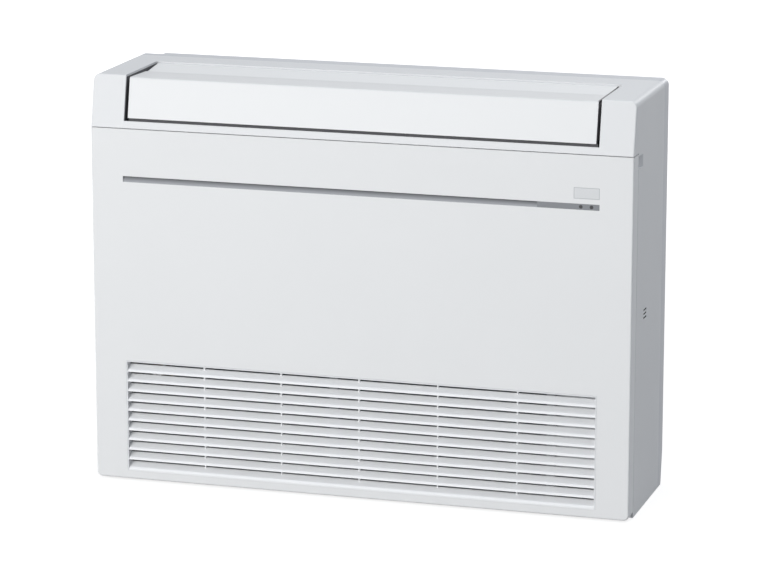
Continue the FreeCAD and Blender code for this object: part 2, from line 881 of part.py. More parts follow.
rib = pad(
    grille,
    "YZ_Plane",
    (f"-{GRILLE} + {RIB_PITCH} - rib_thick / 2", f"-{GRILLE} + {RIB_PITCH} + rib_thick / 2"),
    rectangle(
        (f"{FRONT} + rib_setback", f"{FRONT} + grille_deep"),
        (f"{RIM_Z[0]} - grille_rim / 2", f"{RIM_Z[1]} + grille_rim / 2"),
    ),
)
repeat(grille, rib, "X_Axis", f"{RIB_PITCH} * {rib_count - 1}", rib_count)
node("intake_grille", grille)

# Panel hinge: a bracket on the base pan at each end with a stub pin for the panel's ear, and the catches
# that hold the panel's top
brackets = []
for side in (-1, 1):
    inner_face = f"{PANEL_INNER} - ear_thick - bracket_gap"
    span = on_side(side, f"{inner_face} - bracket_wide", inner_face)
    foot_y = f"{CASE_FRONT} + bracket_foot"
    arm_top = f"{PIVOT_Z} + bracket_rise"
    arm = box(span, (f"{PIVOT_Y} - hinge_pin_round", foot_y), (f"{PIVOT_Z} - bracket_drop", arm_top))
    foot = box(span, (CASE_FRONT, foot_y), ("pan_thick", arm_top))
    pin_span = on_side(side, f"{inner_face} - bracket_wide / 2", f"{PANEL_INNER} - panel_wall / 2")
    brackets.append(fuse(arm, foot, rod("x", "hinge_pin_round", pin_span, (PIVOT_Y, PIVOT_Z))))
node("hinge_brackets", group(*brackets))
catches = []
for side in (-1, 1):
    span = on_side(side, f"{INNER} - catch_inset - catch_wide", f"{INNER} - catch_inset")
    catch_y = f"{FRONT} + top_flange + loose_fit"
    catches.append(
        box(span, (catch_y, f"{catch_y} + catch_deep"), ("seam_height - catch_tall", "seam_height"))
    )
node("panel_catches", group(*catches))

# Front vane: an L of leaning front and a top that falls a little to the rear, with closed cheeks, hung on
# a barrel along its rear edge whose pins turn in the walls beside the outlet
VANE_HALF = f"({OUTLET} - vane_gap)"
VANE_LOW = f"({OUTLET_LOW} + vane_foot_gap)"
VANE_FOOT_Y = f"({FRONT} + vane_recess + {LEAN_RATE} * ({VANE_LOW} - seam_height))"
VANE_TOP_Y = f"({FRONT} + vane_recess + {LEAN_RATE} * ({VANE_TOP} - seam_height))"
vane_skin = prism(
    "YZ_Plane",
    (f"-{VANE_HALF}", VANE_HALF),
    [
        (VANE_FOOT_Y, VANE_LOW),
        (VANE_TOP_Y, VANE_TOP),
        (VANE_Y, VANE_REAR),
        (VANE_Y, f"{VANE_REAR} - vane_thick"),
        (f"{VANE_TOP_Y} + vane_thick", f"{VANE_TOP} - vane_thick"),
        (f"{VANE_FOOT_Y} + vane_thick", VANE_LOW),
    ],
)
round_edges(vane_skin, "vane_nose_round", lambda e: at(e, y=VANE_TOP_Y, z=VANE_TOP))
vane_pieces = [vane_skin, rod("x", "vane_barrel", (f"-{VANE_HALF}", VANE_HALF), (VANE_Y, VANE_Z))]
for side in (-1, 1):
    cheek = [
        (f"{VANE_FOOT_Y} + vane_thick / 2", VANE_LOW),
        (f"{VANE_TOP_Y} + vane_thick / 2", f"{VANE_TOP} - vane_thick / 2"),
        (VANE_Y, f"{VANE_REAR} - vane_thick / 2"),
        (VANE_Y, f"{VANE_Z} - vane_barrel / 2"),
        (f"{VANE_FOOT_Y} + 2 * vane_thick", VANE_LOW),
    ]
    vane_pieces.append(prism("YZ_Plane", on_side(side, f"{VANE_HALF} - cheek_thick", VANE_HALF), cheek))
    pin_span = on_side(side, VANE_HALF, f"{VANE_HALF} + vane_pin_long")
    vane_pieces.append(rod("x", "vane_pin", pin_span, (VANE_Y, VANE_Z)))
node("front_vane", fuse(*vane_pieces))

# Upper vane: a flat slat that rises gently to the rear, hung on its rear barrel
UPPER_FRONT = f"({VANE_Y} + vane_barrel + vane_split)"
slat_section = [
    (UPPER_FRONT, f"{VANE_TOP} - upper_dip"),
    (UPPER_Y, UPPER_TOP),
    (UPPER_Y, f"{UPPER_TOP} - vane_thick"),
    (UPPER_FRONT, f"{VANE_TOP} - upper_dip - vane_thick"),
]
upper_slat = prism("YZ_Plane", (f"-{VANE_HALF}", VANE_HALF), slat_section)
round_edges(
    upper_slat,
    "vane_thick / 4",
    lambda e: at(e, y=UPPER_FRONT) and not at(e, x=VANE_HALF) and not at(e, x=f"-{VANE_HALF}"),
)
upper_pieces = [upper_slat, rod("x", "upper_barrel", (f"-{VANE_HALF}", VANE_HALF), (UPPER_Y, UPPER_Z))]
for side in (-1, 1):
    pin_span = on_side(side, VANE_HALF, f"{VANE_HALF} + vane_pin_long")
    upper_pieces.append(rod("x", "vane_pin", pin_span, (UPPER_Y, UPPER_Z)))
node("upper_vane", fuse(*upper_pieces))

# Vane motors: small round geared motors inside the right shoulder, their shafts off centre
MOTOR_FACE = f"({OUTLET} + wall)"
for word, y, z in (("front", VANE_Y, VANE_Z), ("upper", UPPER_Y, UPPER_Z)):
    can = rod(
        "x",
        "vane_motor_round",
        (MOTOR_FACE, f"{MOTOR_FACE} + vane_motor_long"),
        (y, f"{z} - vane_motor_offset"),
        sides=16,
    )
    socket_span = (f"{MOTOR_FACE} - {PAST}", f"{VANE_HALF} + vane_pin_long + loose_fit")
    socket = rod("x", "vane_pin + 2 * loose_fit", socket_span, (y, z), sides=8)
    node(f"vane_motor_{word}", cut(can, socket))

# Fan housing: scroll round the back of the fan, its straight run up to the outlet, and the left end wall
FAN_Y = f"({FRONT} + fan_setback)"
FAN_LEFT = f"(-{OUTLET} + fan_left_gap)"
HOUSING_LEFT = f"(-{OUTLET})"
HOUSING_RIGHT = f"({INNER} - motor_room)"
FAN_RIGHT = f"({HOUSING_RIGHT} - fan_right_gap)"
SCROLL = "(fan_round + scroll_gap)"
SCROLL_END = "(scroll_start + scroll_sweep)"
HOUSING_TOP = "(case_height - housing_inset)"
SCROLL_SPAN = (HOUSING_LEFT, HOUSING_RIGHT)
scroll_outer = sector(
    f"{SCROLL} + scroll_thick", "scroll_start", "scroll_sweep", SCROLL_SPAN, (FAN_Y, "fan_level")
)
scroll_core = rod(
    "x", SCROLL, (f"{HOUSING_LEFT} - {PAST}", f"{HOUSING_RIGHT} + {PAST}"), (FAN_Y, "fan_level")
)
SCROLL_FRAME = (
    f"{FAN_Y} + {SCROLL} * cos({SCROLL_END})",
    f"fan_level + {SCROLL} * sin({SCROLL_END})",
    SCROLL_END,
)
SCROLL_RUN = f"(({HOUSING_TOP} - ({SCROLL_FRAME[1]})) / cos({SCROLL_END}) - scroll_thick)"
scroll_run = leaning_box(SCROLL_FRAME, SCROLL_SPAN, ("0", "scroll_thick"), ("0", SCROLL_RUN))
LIP_Y = f"({CASE_FRONT} + nozzle_clear)"
LIP_Z = "(seam_height + wall)"
NOSE_Y = f"({LIP_Y} + nozzle_run)"
NOSE_Z = f"({LIP_Z} - nozzle_fall)"
NOZZLE = (NOSE_Y, NOSE_Z, "nozzle_angle")
RUN_TOP_Y = f"({SCROLL_FRAME[0]} - {SCROLL_RUN} * sin({SCROLL_END}) + scroll_thick)"
# Beside the outlet the wall stands up to the deck, behind the leaning front, and carries the vanes' pins.
FRAME_FRONT = f"({FRONT} + 2 * wall)"
FRAME_TOP = "(case_height - wall)"
frame_corners = [
    (LIP_Y, LIP_Z),
    (FRAME_FRONT, LIP_Z),
    (f"{FRAME_FRONT} + top_lean", FRAME_TOP),
    (OUTLET_BACK, FRAME_TOP),
    (OUTLET_BACK, "case_height - deck_fold"),
    (RUN_TOP_Y, HOUSING_TOP),
]


def vane_bores(side):
    span = on_side(side, f"{OUTLET} - {PAST}", f"{OUTLET} + wall + {PAST}")
    centres = ((VANE_Y, VANE_Z), (UPPER_Y, UPPER_Z))
    return [rod("x", "vane_pin + turning_fit", span, centre) for centre in centres]


left_outline = frame_corners + [
    (BACK_WALL, f"fan_level + {SCROLL}"),
    (BACK_WALL, "fan_level - housing_drop"),
    (f"{FAN_Y} - fan_round / 2", "fan_level - housing_drop"),
    (f"{NOSE_Y} - nose_round", f"{NOSE_Z} - nose_round"),
]
left_wall = prism("YZ_Plane", (f"{HOUSING_LEFT} - wall", HOUSING_LEFT), left_outline)
shaft_span = (f"{HOUSING_LEFT} - wall - {PAST}", f"{HOUSING_LEFT} + {PAST}")
shaft_way = rod("x", "shaft_hole", shaft_span, (FAN_Y, "fan_level"))
scroll = fuse(cut(scroll_outer, scroll_core), scroll_run, left_wall)
node("fan_housing", cut(scroll, shaft_way, *vane_bores(-1)))

# Right end wall of the fan chamber, between the fan and its motor
END_WALL = (HOUSING_RIGHT, f"{HOUSING_RIGHT} + wall")
end_outline = [
    (f"{NOSE_Y} + nose_round * 2", NOSE_Z),
    (f"{NOSE_Y} + nose_round * 2", "fan_level + motor_round + motor_clear"),
    (f"{FAN_Y} + motor_round", "fan_level + motor_round + motor_clear"),
    (BACK_WALL, "fan_level + motor_round"),
    (BACK_WALL, "fan_level - housing_drop"),
    (f"{FAN_Y} - fan_round / 2", "fan_level - housing_drop"),
]
end_hole = rod(
    "x", "shaft_hole", (f"{END_WALL[0]} - {PAST}", f"{END_WALL[1]} + {PAST}"), (FAN_Y, "fan_level")
)
node("fan_end_wall", cut(prism("YZ_Plane", END_WALL, end_outline), end_hole))

# Right side of the outlet, stepped out over the motor: a side wall, a shelf and the rear corner
SHELF_Z = "(fan_level + motor_round + motor_clear)"
SHELF_U = f"(({SHELF_Z} - {NOSE_Z}) / cos(nozzle_angle))"
SHELF_FRONT = f"({NOSE_Y} - {SHELF_U} * sin(nozzle_angle))"
RUN_LOW = f"(({SHELF_Z} - ({SCROLL_FRAME[1]})) / cos({SCROLL_END}))"
side_outline = frame_corners + [
    (f"{SCROLL_FRAME[0]} - {RUN_LOW} * sin({SCROLL_END}) + scroll_thick", SHELF_Z),
    (SHELF_FRONT, SHELF_Z),
]
side_wall = prism("YZ_Plane", (OUTLET, f"{OUTLET} + wall"), side_outline)
SHELF_SPAN = (END_WALL[1], f"{OUTLET} + wall / 2")
shelf = box(
    SHELF_SPAN,
    (f"{SHELF_FRONT} + nozzle_thick", f"{SCROLL_FRAME[0]} - {RUN_LOW} * sin({SCROLL_END})"),
    (SHELF_Z, f"{SHELF_Z} + nozzle_thick"),
)
corner = leaning_box(SCROLL_FRAME, SHELF_SPAN, ("0", "scroll_thick"), (RUN_LOW, SCROLL_RUN))
node("outlet_side_right", cut(fuse(side_wall, shelf, corner), *vane_bores(1)))

# Stabiliser: front wall of the outlet, rolled at the nose beside the fan, with a tongue down to the coil
STABILISER = (HOUSING_LEFT, OUTLET)
front_wall = leaning_box(NOZZLE, STABILISER, ("-nozzle_thick", "0"), ("0", "nozzle_long"))
nose = rod("x", "nose_round", STABILISER, (f"{NOSE_Y} - nose_round / 2", f"{NOSE_Z} - nose_round / 4"))
tongue = box(
    STABILISER,
    (f"{NOSE_Y} - nose_round", f"{NOSE_Y} - nose_round + nozzle_thick"),
    (f"{NOSE_Z} - tongue_tall", NOSE_Z),
)
BLADE_PITCH = f"(({STABILISER[1]}) - ({STABILISER[0]})) / {deflector_count}"
blade_places = [f"{STABILISER[0]} + {BLADE_PITCH} * {k + 0.5}" for k in range(deflector_count)]
PIN_SPAN = ("-nozzle_thick", "blade_lift + blade_seat")
hole_span = (f"-nozzle_thick - {PAST}", PAST)
pin_holes = [
    leaning_rod(NOZZLE, "blade_pin + 2 * turning_fit", x, hole_span, "blade_pivot", sides=16)
    for x in blade_places
]
node("stabiliser", cut(fuse(front_wall, nose, tongue), *pin_holes))

# Deflector blades: upright plates that swing on pins in the stabiliser, all moved by one slotted bar
BLADE_TOP = "(blade_lift + blade_tall)"
LINK_U = "(blade_pivot + link_arm)"
slots = []
for k, x in enumerate(blade_places, start=1):
    plate = leaning_box(
        NOZZLE,
        (f"{x} - blade_thick / 2", f"{x} + blade_thick / 2"),
        ("blade_lift", BLADE_TOP),
        ("blade_pivot - blade_lead", "blade_pivot + blade_trail"),
    )
    pivot = leaning_rod(NOZZLE, "blade_pin", x, PIN_SPAN, "blade_pivot", sides=8)
    crank_span = (f"{BLADE_TOP} - blade_seat", f"{BLADE_TOP} + link_gap + link_thick")
    crank = leaning_rod(NOZZLE, "link_pin", x, crank_span, LINK_U, sides=6)
    node(f"deflector_{k}", fuse(plate, pivot, crank))
    slots.append(
        leaning_box(
            NOZZLE,
            (f"{x} - link_pin - link_slack", f"{x} + link_pin + link_slack"),
            (BLADE_TOP, f"{BLADE_TOP} + link_gap + link_thick + {PAST}"),
            (f"{LINK_U} - link_pin - link_travel", f"{LINK_U} + link_pin + link_slack"),
        )
    )
bar = leaning_box(
    NOZZLE,
    (f"{blade_places[0]} - link_wide", f"{blade_places[-1]} + link_wide"),
    (f"{BLADE_TOP} + link_gap", f"{BLADE_TOP} + link_gap + link_thick"),
    (f"{LINK_U} - link_wide / 2", f"{LINK_U} + link_wide / 2"),
)
node("deflector_link", cut(bar, *slots))


# Cross-flow fan: bent blades between rings and end discs, on a shaft stub at each end. Each blade leads
# with its outer edge, so the wheel is built from one strip and its turned copies.
blade_lead_angle = 24
blade_camber_share = 0.13


def blade_face(outer, inner, thick):
    """Section of one blade in the YZ plane: a strip bent between the rim and the inner circle."""
    lead = math.radians(blade_lead_angle)
    tip = FreeCAD.Vector(0, outer, 0)
    root = FreeCAD.Vector(0, inner * math.cos(lead), inner * math.sin(lead))
    chord = root - tip
    middle = tip + chord / 2 + FreeCAD.Vector(0, -chord.z, chord.y) * blade_camber_share
    across = FreeCAD.Vector(0, chord.z, -chord.y).normalize() * thick
    corners = [tip, middle, root, root + across, middle + across, tip + across, tip]
    return Part.Face(Part.makePolygon(corners))


def fan_wheel():
    along = FreeCAD.Vector(1, 0, 0)
    left = num(FAN_LEFT)
    right = num(FAN_RIGHT)
    outer = num("fan_round")
    disc = num("fan_disc")
    inner = outer - num("fan_blade_deep")
    reach = outer - num("fan_blade_thick")

    def ring(x, bore):
        solid = Part.makeCylinder(outer, disc, FreeCAD.Vector(x, 0, 0), along)
        return solid.cut(Part.makeCylinder(bore, disc, FreeCAD.Vector(x, 0, 0), along)) if bore else solid

    pitch = (right - left - disc) / (fan_ring_count + 1)
    rings = [ring(left + pitch * k, inner - disc) for k in range(1, fan_ring_count + 1)]
    ends = [ring(left, 0), ring(right - disc, 0)]
    blade = blade_face(reach, inner, num("fan_blade_thick")).extrude(along * (right - left - disc))
    blade.translate(FreeCAD.Vector(left + disc / 2, 0, 0))
    blades = []
    for k in range(fan_blade_count):
        turned = blade.copy()
        turned.rotate(FreeCAD.Vector(), along, 360 / fan_blade_count * k)
        blades.append(turned)
    round_shaft = num("shaft_round")
    stubs = []
    for start, long in (
        (left - num("shaft_left_long"), "shaft_left_long"), (right - disc, "shaft_right_long")
    ):
        stubs.append(Part.makeCylinder(round_shaft, num(long) + disc, FreeCAD.Vector(start, 0, 0), along))
    return ends[0].multiFuse(ends[1:] + rings + blades + stubs)


wheel = doc.addObject("Part::Feature", "wheel")
wheel.Shape = fan_wheel()
place(wheel, "0", FAN_Y, "fan_level")
node("cross_flow_fan", wheel)

# Fan bearing on the left wall, and the motor with its cradle on the right
BEARING = (f"{HOUSING_LEFT} - wall - bearing_long", f"{HOUSING_LEFT} - wall")
bearing_bore = rod(
    "x",
    "shaft_round + turning_fit",
    (f"{BEARING[0]} - {PAST}", f"{BEARING[1]} + {PAST}"),
    (FAN_Y, "fan_level"),
)
node("fan_bearing", cut(rod("x", "bearing_round", BEARING, (FAN_Y, "fan_level"), sides=8), bearing_bore))
MOTOR = f"({END_WALL[1]} + motor_boss_long)"
CAN = (MOTOR, f"{MOTOR} + motor_long")
boss_span = (END_WALL[1], f"{MOTOR} + motor_boss_long")
motor_boss = rod("x", "motor_boss_round", boss_span, (FAN_Y, "fan_level"), sides=16)
can = rod("x", "motor_round", CAN, (FAN_Y, "fan_level"), sides=24)
SHAFT_END = f"({FAN_RIGHT} + shaft_right_long)"
motor_bore = rod(
    "x",
    "shaft_round + turning_fit",
    (f"{END_WALL[1]} - {PAST}", f"{SHAFT_END} + loose_fit"),
    (FAN_Y, "fan_level"),
)
node("fan_motor", cut(fuse(motor_boss, can), motor_bore))
CRADLE_X = f"({MOTOR} + motor_long / 2)"
cradle = box(
    (f"{CRADLE_X} - cradle_wide / 2", f"{CRADLE_X} + cradle_wide / 2"),
    (f"{FAN_Y} + motor_round / 2", BACK_WALL),
    ("fan_level - cradle_tall / 2", "fan_level + cradle_tall / 2"),
)
cradle_seat = rod("x", "motor_round + turning_fit", CAN, (FAN_Y, "fan_level"), sides=24)
node("motor_bracket", cut(cradle, cradle_seat))

# Heat exchanger: a slanted fin block between two steel end plates with tabs to the rear base, and the
# copper return bends that stand out of them
COIL = (f"({FRONT} + coil_setback)", "coil_level", "coil_tilt")
COIL_X = (f"(-{HALF} + coil_left_room)", f"({HALF} - coil_right_room)")
COIL_Y = ("-coil_thick / 2", "coil_thick / 2")
node("fin_pack", leaning_box(COIL, COIL_X, COIL_Y, ("0", "coil_tall")))
plate_y = (f"{COIL_Y[0]} - coil_plate_rim", f"{COIL_Y[1]} + coil_plate_rim")
plate_z = ("-coil_plate_rim", "coil_tall + coil_plate_rim")
tab_y = (in_frame(COIL, "0", "coil_tab_level - coil_level")[0], BACK_WALL)
tab_z = ("coil_tab_level", "coil_tab_level + coil_tab_tall")
PLATES = {
    "left": (f"{COIL_X[0]} - coil_plate", COIL_X[0]),
    "right": (COIL_X[1], f"{COIL_X[1]} + coil_plate"),
}
for word, span in PLATES.items():
    node(f"coil_plate_{word}", fuse(leaning_box(COIL, span, plate_y, plate_z), box(span, tab_y, tab_z)))


def ring_of(centre, direction, radius, sides):
    """A closed polygon across a direction."""
    turn = FreeCAD.Rotation(FreeCAD.Vector(0, 0, 1), direction)
    angles = [math.radians(360 * k / sides) for k in range(sides)]
    corners = [centre + turn.multVec(FreeCAD.Vector(math.cos(a), math.sin(a), 0) * radius) for a in angles]
    return Part.makePolygon(corners + corners[:1])


def mitred_tube(corners, radius, sides):
    """A tube of flat sides along straight runs with mitred corners."""
    section = ring_of(corners[0], corners[1] - corners[0], num(radius), sides)
    return Part.Wire(Part.makePolygon(corners)).makePipeShell([section], True, False, 1)


def spot(point):
    return FreeCAD.Vector(*(num(c) for c in point))


bend_sides = 6
pipe_sides = 8
bend_knee_share = 0.45
bends = []
for k in range(tube_count - 1):
    side = 1 if k % 2 == 0 else -1
    face = PLATES["right"][1] if side > 0 else PLATES["left"][0]
    middle = f"tube_first + tube_pitch * {k + 0.5}"
    half_pitch = "tube_pitch / 2"
    # Out of the plate, round two knees and back, as shares of half the tube pitch along and out
    knee_shares = (
        (-1, 0),
        (-1, bend_knee_share),
        (-bend_knee_share, 1),
        (bend_knee_share, 1),
        (1, bend_knee_share),
        (1, 0),
    )
    points = []
    for along, out in knee_shares:
        across = in_frame(COIL, "0", f"{middle} + {half_pitch} * ({along})")
        points.append((f"{face} + {half_pitch} * {side * out}", *across))
    bends.append(mitred_tube([spot(point) for point in points], "tube_round", bend_sides))
bend_group = doc.addObject("Part::Feature", "bends")
bend_group.Shape = Part.makeCompound(bends)
node("coil_bends", bend_group)


def bent_route(points, bend):
    """Corners of a route whose turns are taken in three equal steps round an arc."""
    corners = [spot(point) for point in points]
    route = [corners[0]]
    for before, here, after in zip(corners, corners[1:], corners[2:]):
        into = (here - before).normalize()
        out = (after - here).normalize()
        turn = into.getAngle(out)
        middle = here + (out - into).normalize() * (bend / math.cos(turn / 2))
        axis = into.cross(out)
        # The runs between these corners touch the arc at their middles.
        reach = here - into * (bend * math.tan(turn / 2)) - middle
        stretch = 1 / math.cos(turn / 6)
        for step in (1, 3, 5):
            spin = FreeCAD.Rotation(axis, math.degrees(turn * step / 6))
            route.append(middle + spin.multVec(reach) * stretch)
    return route + [corners[-1]]


PIPE_END = f"({BACK_WALL} - pipe_end_gap)"
PLATE_LEFT = PLATES["left"][0]
GAS_X = f"({PLATE_LEFT} - gas_out)"
LIQUID_X = f"({PLATE_LEFT} - liquid_out)"
DROP_Y = f"({FRONT} + pipe_drop_setback)"
gas_start = in_frame(COIL, "0", f"tube_first + tube_pitch * {tube_count - 1}")
liquid_start = in_frame(COIL, "0", "tube_first")
gas_route = [
    (PLATE_LEFT, *gas_start),
    (GAS_X, *gas_start),
    (GAS_X, DROP_Y, f"({gas_start[1]}) - gas_fall"),
    (GAS_X, DROP_Y, "gas_end_level"),
    (GAS_X, PIPE_END, "gas_end_level"),
]
liquid_route = [
    (PLATE_LEFT, *liquid_start), (LIQUID_X, *liquid_start), (LIQUID_X, PIPE_END, liquid_start[1])
]
nuts = []
for name, route, radius in (
    ("gas_pipe", gas_route, "gas_round"), ("liquid_pipe", liquid_route, "liquid_round")
):
    pipe = doc.addObject("Part::Feature", "pipe")
    pipe.Shape = mitred_tube(bent_route(route, num("pipe_bend")), radius, pipe_sides)
    node(name, pipe)
    end_x, end_y, end_z = route[-1]
    nuts.append(cut(rod("y", "nut_round", (f"{end_y} - nut_long", end_y), (end_x, end_z), sides=6), pipe))
node("flare_nuts", group(*nuts))

# Drain pan under the coil, with a hose spigot on its left end
DRAIN_X = (f"-{HALF} + drain_left_room", f"{HALF} - drain_right_room")
DRAIN_Y = (f"{FRONT} + drain_setback", BACK_WALL)
DRAIN_Z = ("drain_level", "drain_level + drain_tall")
pan_hollow = box(
    (f"{DRAIN_X[0]} + drain_wall", f"{DRAIN_X[1]} - drain_wall"),
    (f"{DRAIN_Y[0]} + drain_wall", f"{DRAIN_Y[1]} - drain_wall"),
    (f"{DRAIN_Z[0]} + drain_wall", f"{DRAIN_Z[1]} + {PAST}"),
)
SPIGOT_AT = (f"{FRONT} + spigot_setback", "drain_level + spigot_rise")
SPIGOT = (f"{DRAIN_X[0]} - spigot_long", DRAIN_X[0])
spigot = rod("x", "spigot_round", SPIGOT, SPIGOT_AT, sides=16)
spigot_span = (f"{SPIGOT[0]} - {PAST}", f"{SPIGOT[1]} + {PAST}")
spigot_way = rod("x", "spigot_bore", spigot_span, SPIGOT_AT, sides=16)
node("drain_pan", cut(fuse(cut(box(DRAIN_X, DRAIN_Y, DRAIN_Z), pan_hollow), spigot), spigot_way))

# Filters: two framed nets that slide up between three grooved rails standing on the base pan
RAIL_LEFT = f"(-{INNER} + rail_left_room)"
RAIL_RIGHT = f"({INNER} - rail_right_room)"
RAIL_MIDDLE = f"(({RAIL_LEFT} + {RAIL_RIGHT}) / 2)"
RAIL_Y = (f"{CASE_FRONT} + rail_front_gap", f"{CASE_FRONT} + rail_front_gap + rail_thick")
FILTER_MID = f"({RAIL_Y[0]} + rail_thick / 2)"
FILTER_Y = (f"{FILTER_MID} - filter_thick / 2", f"{FILTER_MID} + filter_thick / 2")
GROOVE_Y = (f"{FILTER_Y[0]} - loose_fit", f"{FILTER_Y[1]} + loose_fit")
FILTER_LOW = "(pan_thick + rail_stop)"
for word, x, sides in (
    ("left", RAIL_LEFT, (1,)), ("middle", RAIL_MIDDLE, (-1, 1)), ("right", RAIL_RIGHT, (-1,))
):
    rail = box(
        (f"{x} - rail_wide / 2", f"{x} + rail_wide / 2"), RAIL_Y, ("pan_thick", "pan_thick + rail_tall")
    )
    grooves = []
    for side in sides:
        edges = (f"{x} + rail_wide / 2 - rail_lap", f"{x} + rail_wide / 2 + {PAST}")
        if side < 0:
            edges = (f"{x} - rail_wide / 2 - {PAST}", f"{x} - rail_wide / 2 + rail_lap")
        grooves.append(box(edges, GROOVE_Y, (FILTER_LOW, f"pan_thick + rail_tall + {PAST}")))
    node(f"filter_rail_{word}", cut(rail, *grooves))
EDGE = "(rail_wide / 2 - rail_lap + loose_fit)"
for word, low, high in (("left", RAIL_LEFT, RAIL_MIDDLE), ("right", RAIL_MIDDLE, RAIL_RIGHT)):
    x = (f"({low} + {EDGE})", f"({high} - {EDGE})")
    z = (FILTER_LOW, f"{FILTER_LOW} + filter_tall")
    inner_x = (f"({x[0]} + filter_rim)", f"({x[1]} - filter_rim)")
    inner_z = (f"({z[0]} + filter_rim)", f"({z[1]} - filter_rim)")
    pieces = [prism("XZ_Plane", FILTER_Y, rectangle(x, z), rectangle(inner_x, inner_z))]
    bar_y = (f"{FILTER_MID} - filter_bar_thick / 2", f"{FILTER_MID} + filter_bar_thick / 2")
    for k in range(1, filter_column_count):
        bar_x = f"{inner_x[0]} + ({inner_x[1]} - {inner_x[0]}) * {k} / {filter_column_count}"
        pieces.append(box((f"{bar_x} - filter_bar / 2", f"{bar_x} + filter_bar / 2"), bar_y, inner_z))
    for k in range(1, filter_row_count):
        bar_z = f"{inner_z[0]} + ({inner_z[1]} - {inner_z[0]}) * {k} / {filter_row_count}"
        pieces.append(box(inner_x, bar_y, (f"{bar_z} - filter_bar / 2", f"{bar_z} + filter_bar / 2")))
    tab_x = f"({x[0]} + {x[1]}) / 2"
    pieces.append(
        box(
            (f"{tab_x} - filter_tab_wide / 2", f"{tab_x} + filter_tab_wide / 2"),
            bar_y,
            (z[1], f"{z[1]} + filter_tab_tall"),
        )
    )
    node(f"filter_{word}", fuse(*pieces))

# Electrical box at the right: an open steel box with tabs to the rear base, its front cover, the board
# on four stands with its tall parts, and the terminal block
CONTROL_X = ("control_left", "control_left + control_wide")
CONTROL_Y = (f"{RAIL_Y[1]} + cover_clear + cover_thick", f"{BACK_WALL} - control_back_gap")
CONTROL_Z = ("control_level", "control_level + control_tall")
control_hollow = box(
    (f"{CONTROL_X[0]} + control_wall", f"{CONTROL_X[1]} - control_wall"),
    (f"{CONTROL_Y[0]} - {PAST}", f"{CONTROL_Y[1]} - control_wall"),
    (f"{CONTROL_Z[0]} + control_wall", f"{CONTROL_Z[1]} - control_wall"),
)
control_adds = [
    box(CONTROL_X, (CONTROL_Y[1], BACK_WALL), (low, f"{low} + control_wall"))
    for low in ("control_level + control_tab", f"{CONTROL_Z[1]} - control_tab")
]
BOARD_X = (f"{CONTROL_X[0]} + board_margin", f"{CONTROL_X[1]} - board_margin")
BOARD_Z = (
    f"{CONTROL_Z[0]} + board_margin + terminal_margin + terminal_tall", f"{CONTROL_Z[1]} - board_margin"
)
BOARD_BACK = f"({CONTROL_Y[1]} - control_wall - board_stand)"
for x in (f"{BOARD_X[0]} + board_margin", f"{BOARD_X[1]} - board_margin"):
    for z in (f"{BOARD_Z[0]} + board_margin", f"{BOARD_Z[1]} - board_margin"):
        stand_x = (f"{x} - stand_half", f"{x} + stand_half")
        stand_z = (f"{z} - stand_half", f"{z} + stand_half")
        control_adds.append(box(stand_x, (BOARD_BACK, f"{CONTROL_Y[1]} - control_wall / 2"), stand_z))
node("control_box", fuse(cut(box(CONTROL_X, CONTROL_Y, CONTROL_Z), control_hollow), *control_adds))
cover_face = box(CONTROL_X, (f"{CONTROL_Y[0]} - cover_thick", CONTROL_Y[0]), CONTROL_Z)
cover_lip = box(
    (f"{CONTROL_X[0]} - cover_thick", CONTROL_X[0]),
    (f"{CONTROL_Y[0]} - cover_thick", f"{CONTROL_Y[0]} + cover_lip"),
    CONTROL_Z,
)
node("control_cover", fuse(cover_face, cover_lip))
board_parts = [box(BOARD_X, (f"{BOARD_BACK} - board_thick", BOARD_BACK), BOARD_Z)]
BOARD_W = f"({BOARD_X[1]} - ({BOARD_X[0]}))"
BOARD_H = f"(({BOARD_Z[1]}) - ({BOARD_Z[0]}))"
# Across, up, width, height and depth of each tall part: up and height are shares of the board's height,
# the others of its width
part_shares = (
    (0.1, 0.064, 0.35, 0.16, 0.4),
    (0.55, 0.08, 0.3, 0.096, 0.5),
    (0.15, 0.35, 0.6, 0.08, 0.3),
    (0.2, 0.606, 0.2, 0.223, 0.25),
    (0.6, 0.7, 0.25, 0.08, 0.35),
)
for across, up, wide, tall, deep in part_shares:
    left = f"{BOARD_X[0]} + {BOARD_W} * {across}"
    low = f"{BOARD_Z[0]} + {BOARD_H} * {up}"
    face = f"{BOARD_BACK} - board_thick"
    board_parts.append(
        box(
            (left, f"{left} + {BOARD_W} * {wide}"),
            (f"{face} - {BOARD_W} * {deep}", face),
            (low, f"{low} + {BOARD_H} * {tall}"),
        )
    )
node("control_board", fuse(*board_parts))
TERMINAL_Y = f"({CONTROL_Y[1]} - control_wall)"
TERMINAL_Z = f"({CONTROL_Z[0]} + terminal_margin)"
node(
    "terminal_block",
    box(
        (f"{CONTROL_X[0]} + terminal_margin", f"{CONTROL_X[1]} - terminal_margin"),
        (f"{TERMINAL_Y} - terminal_deep", TERMINAL_Y),
        (TERMINAL_Z, f"{TERMINAL_Z} + terminal_tall"),
    ),
)

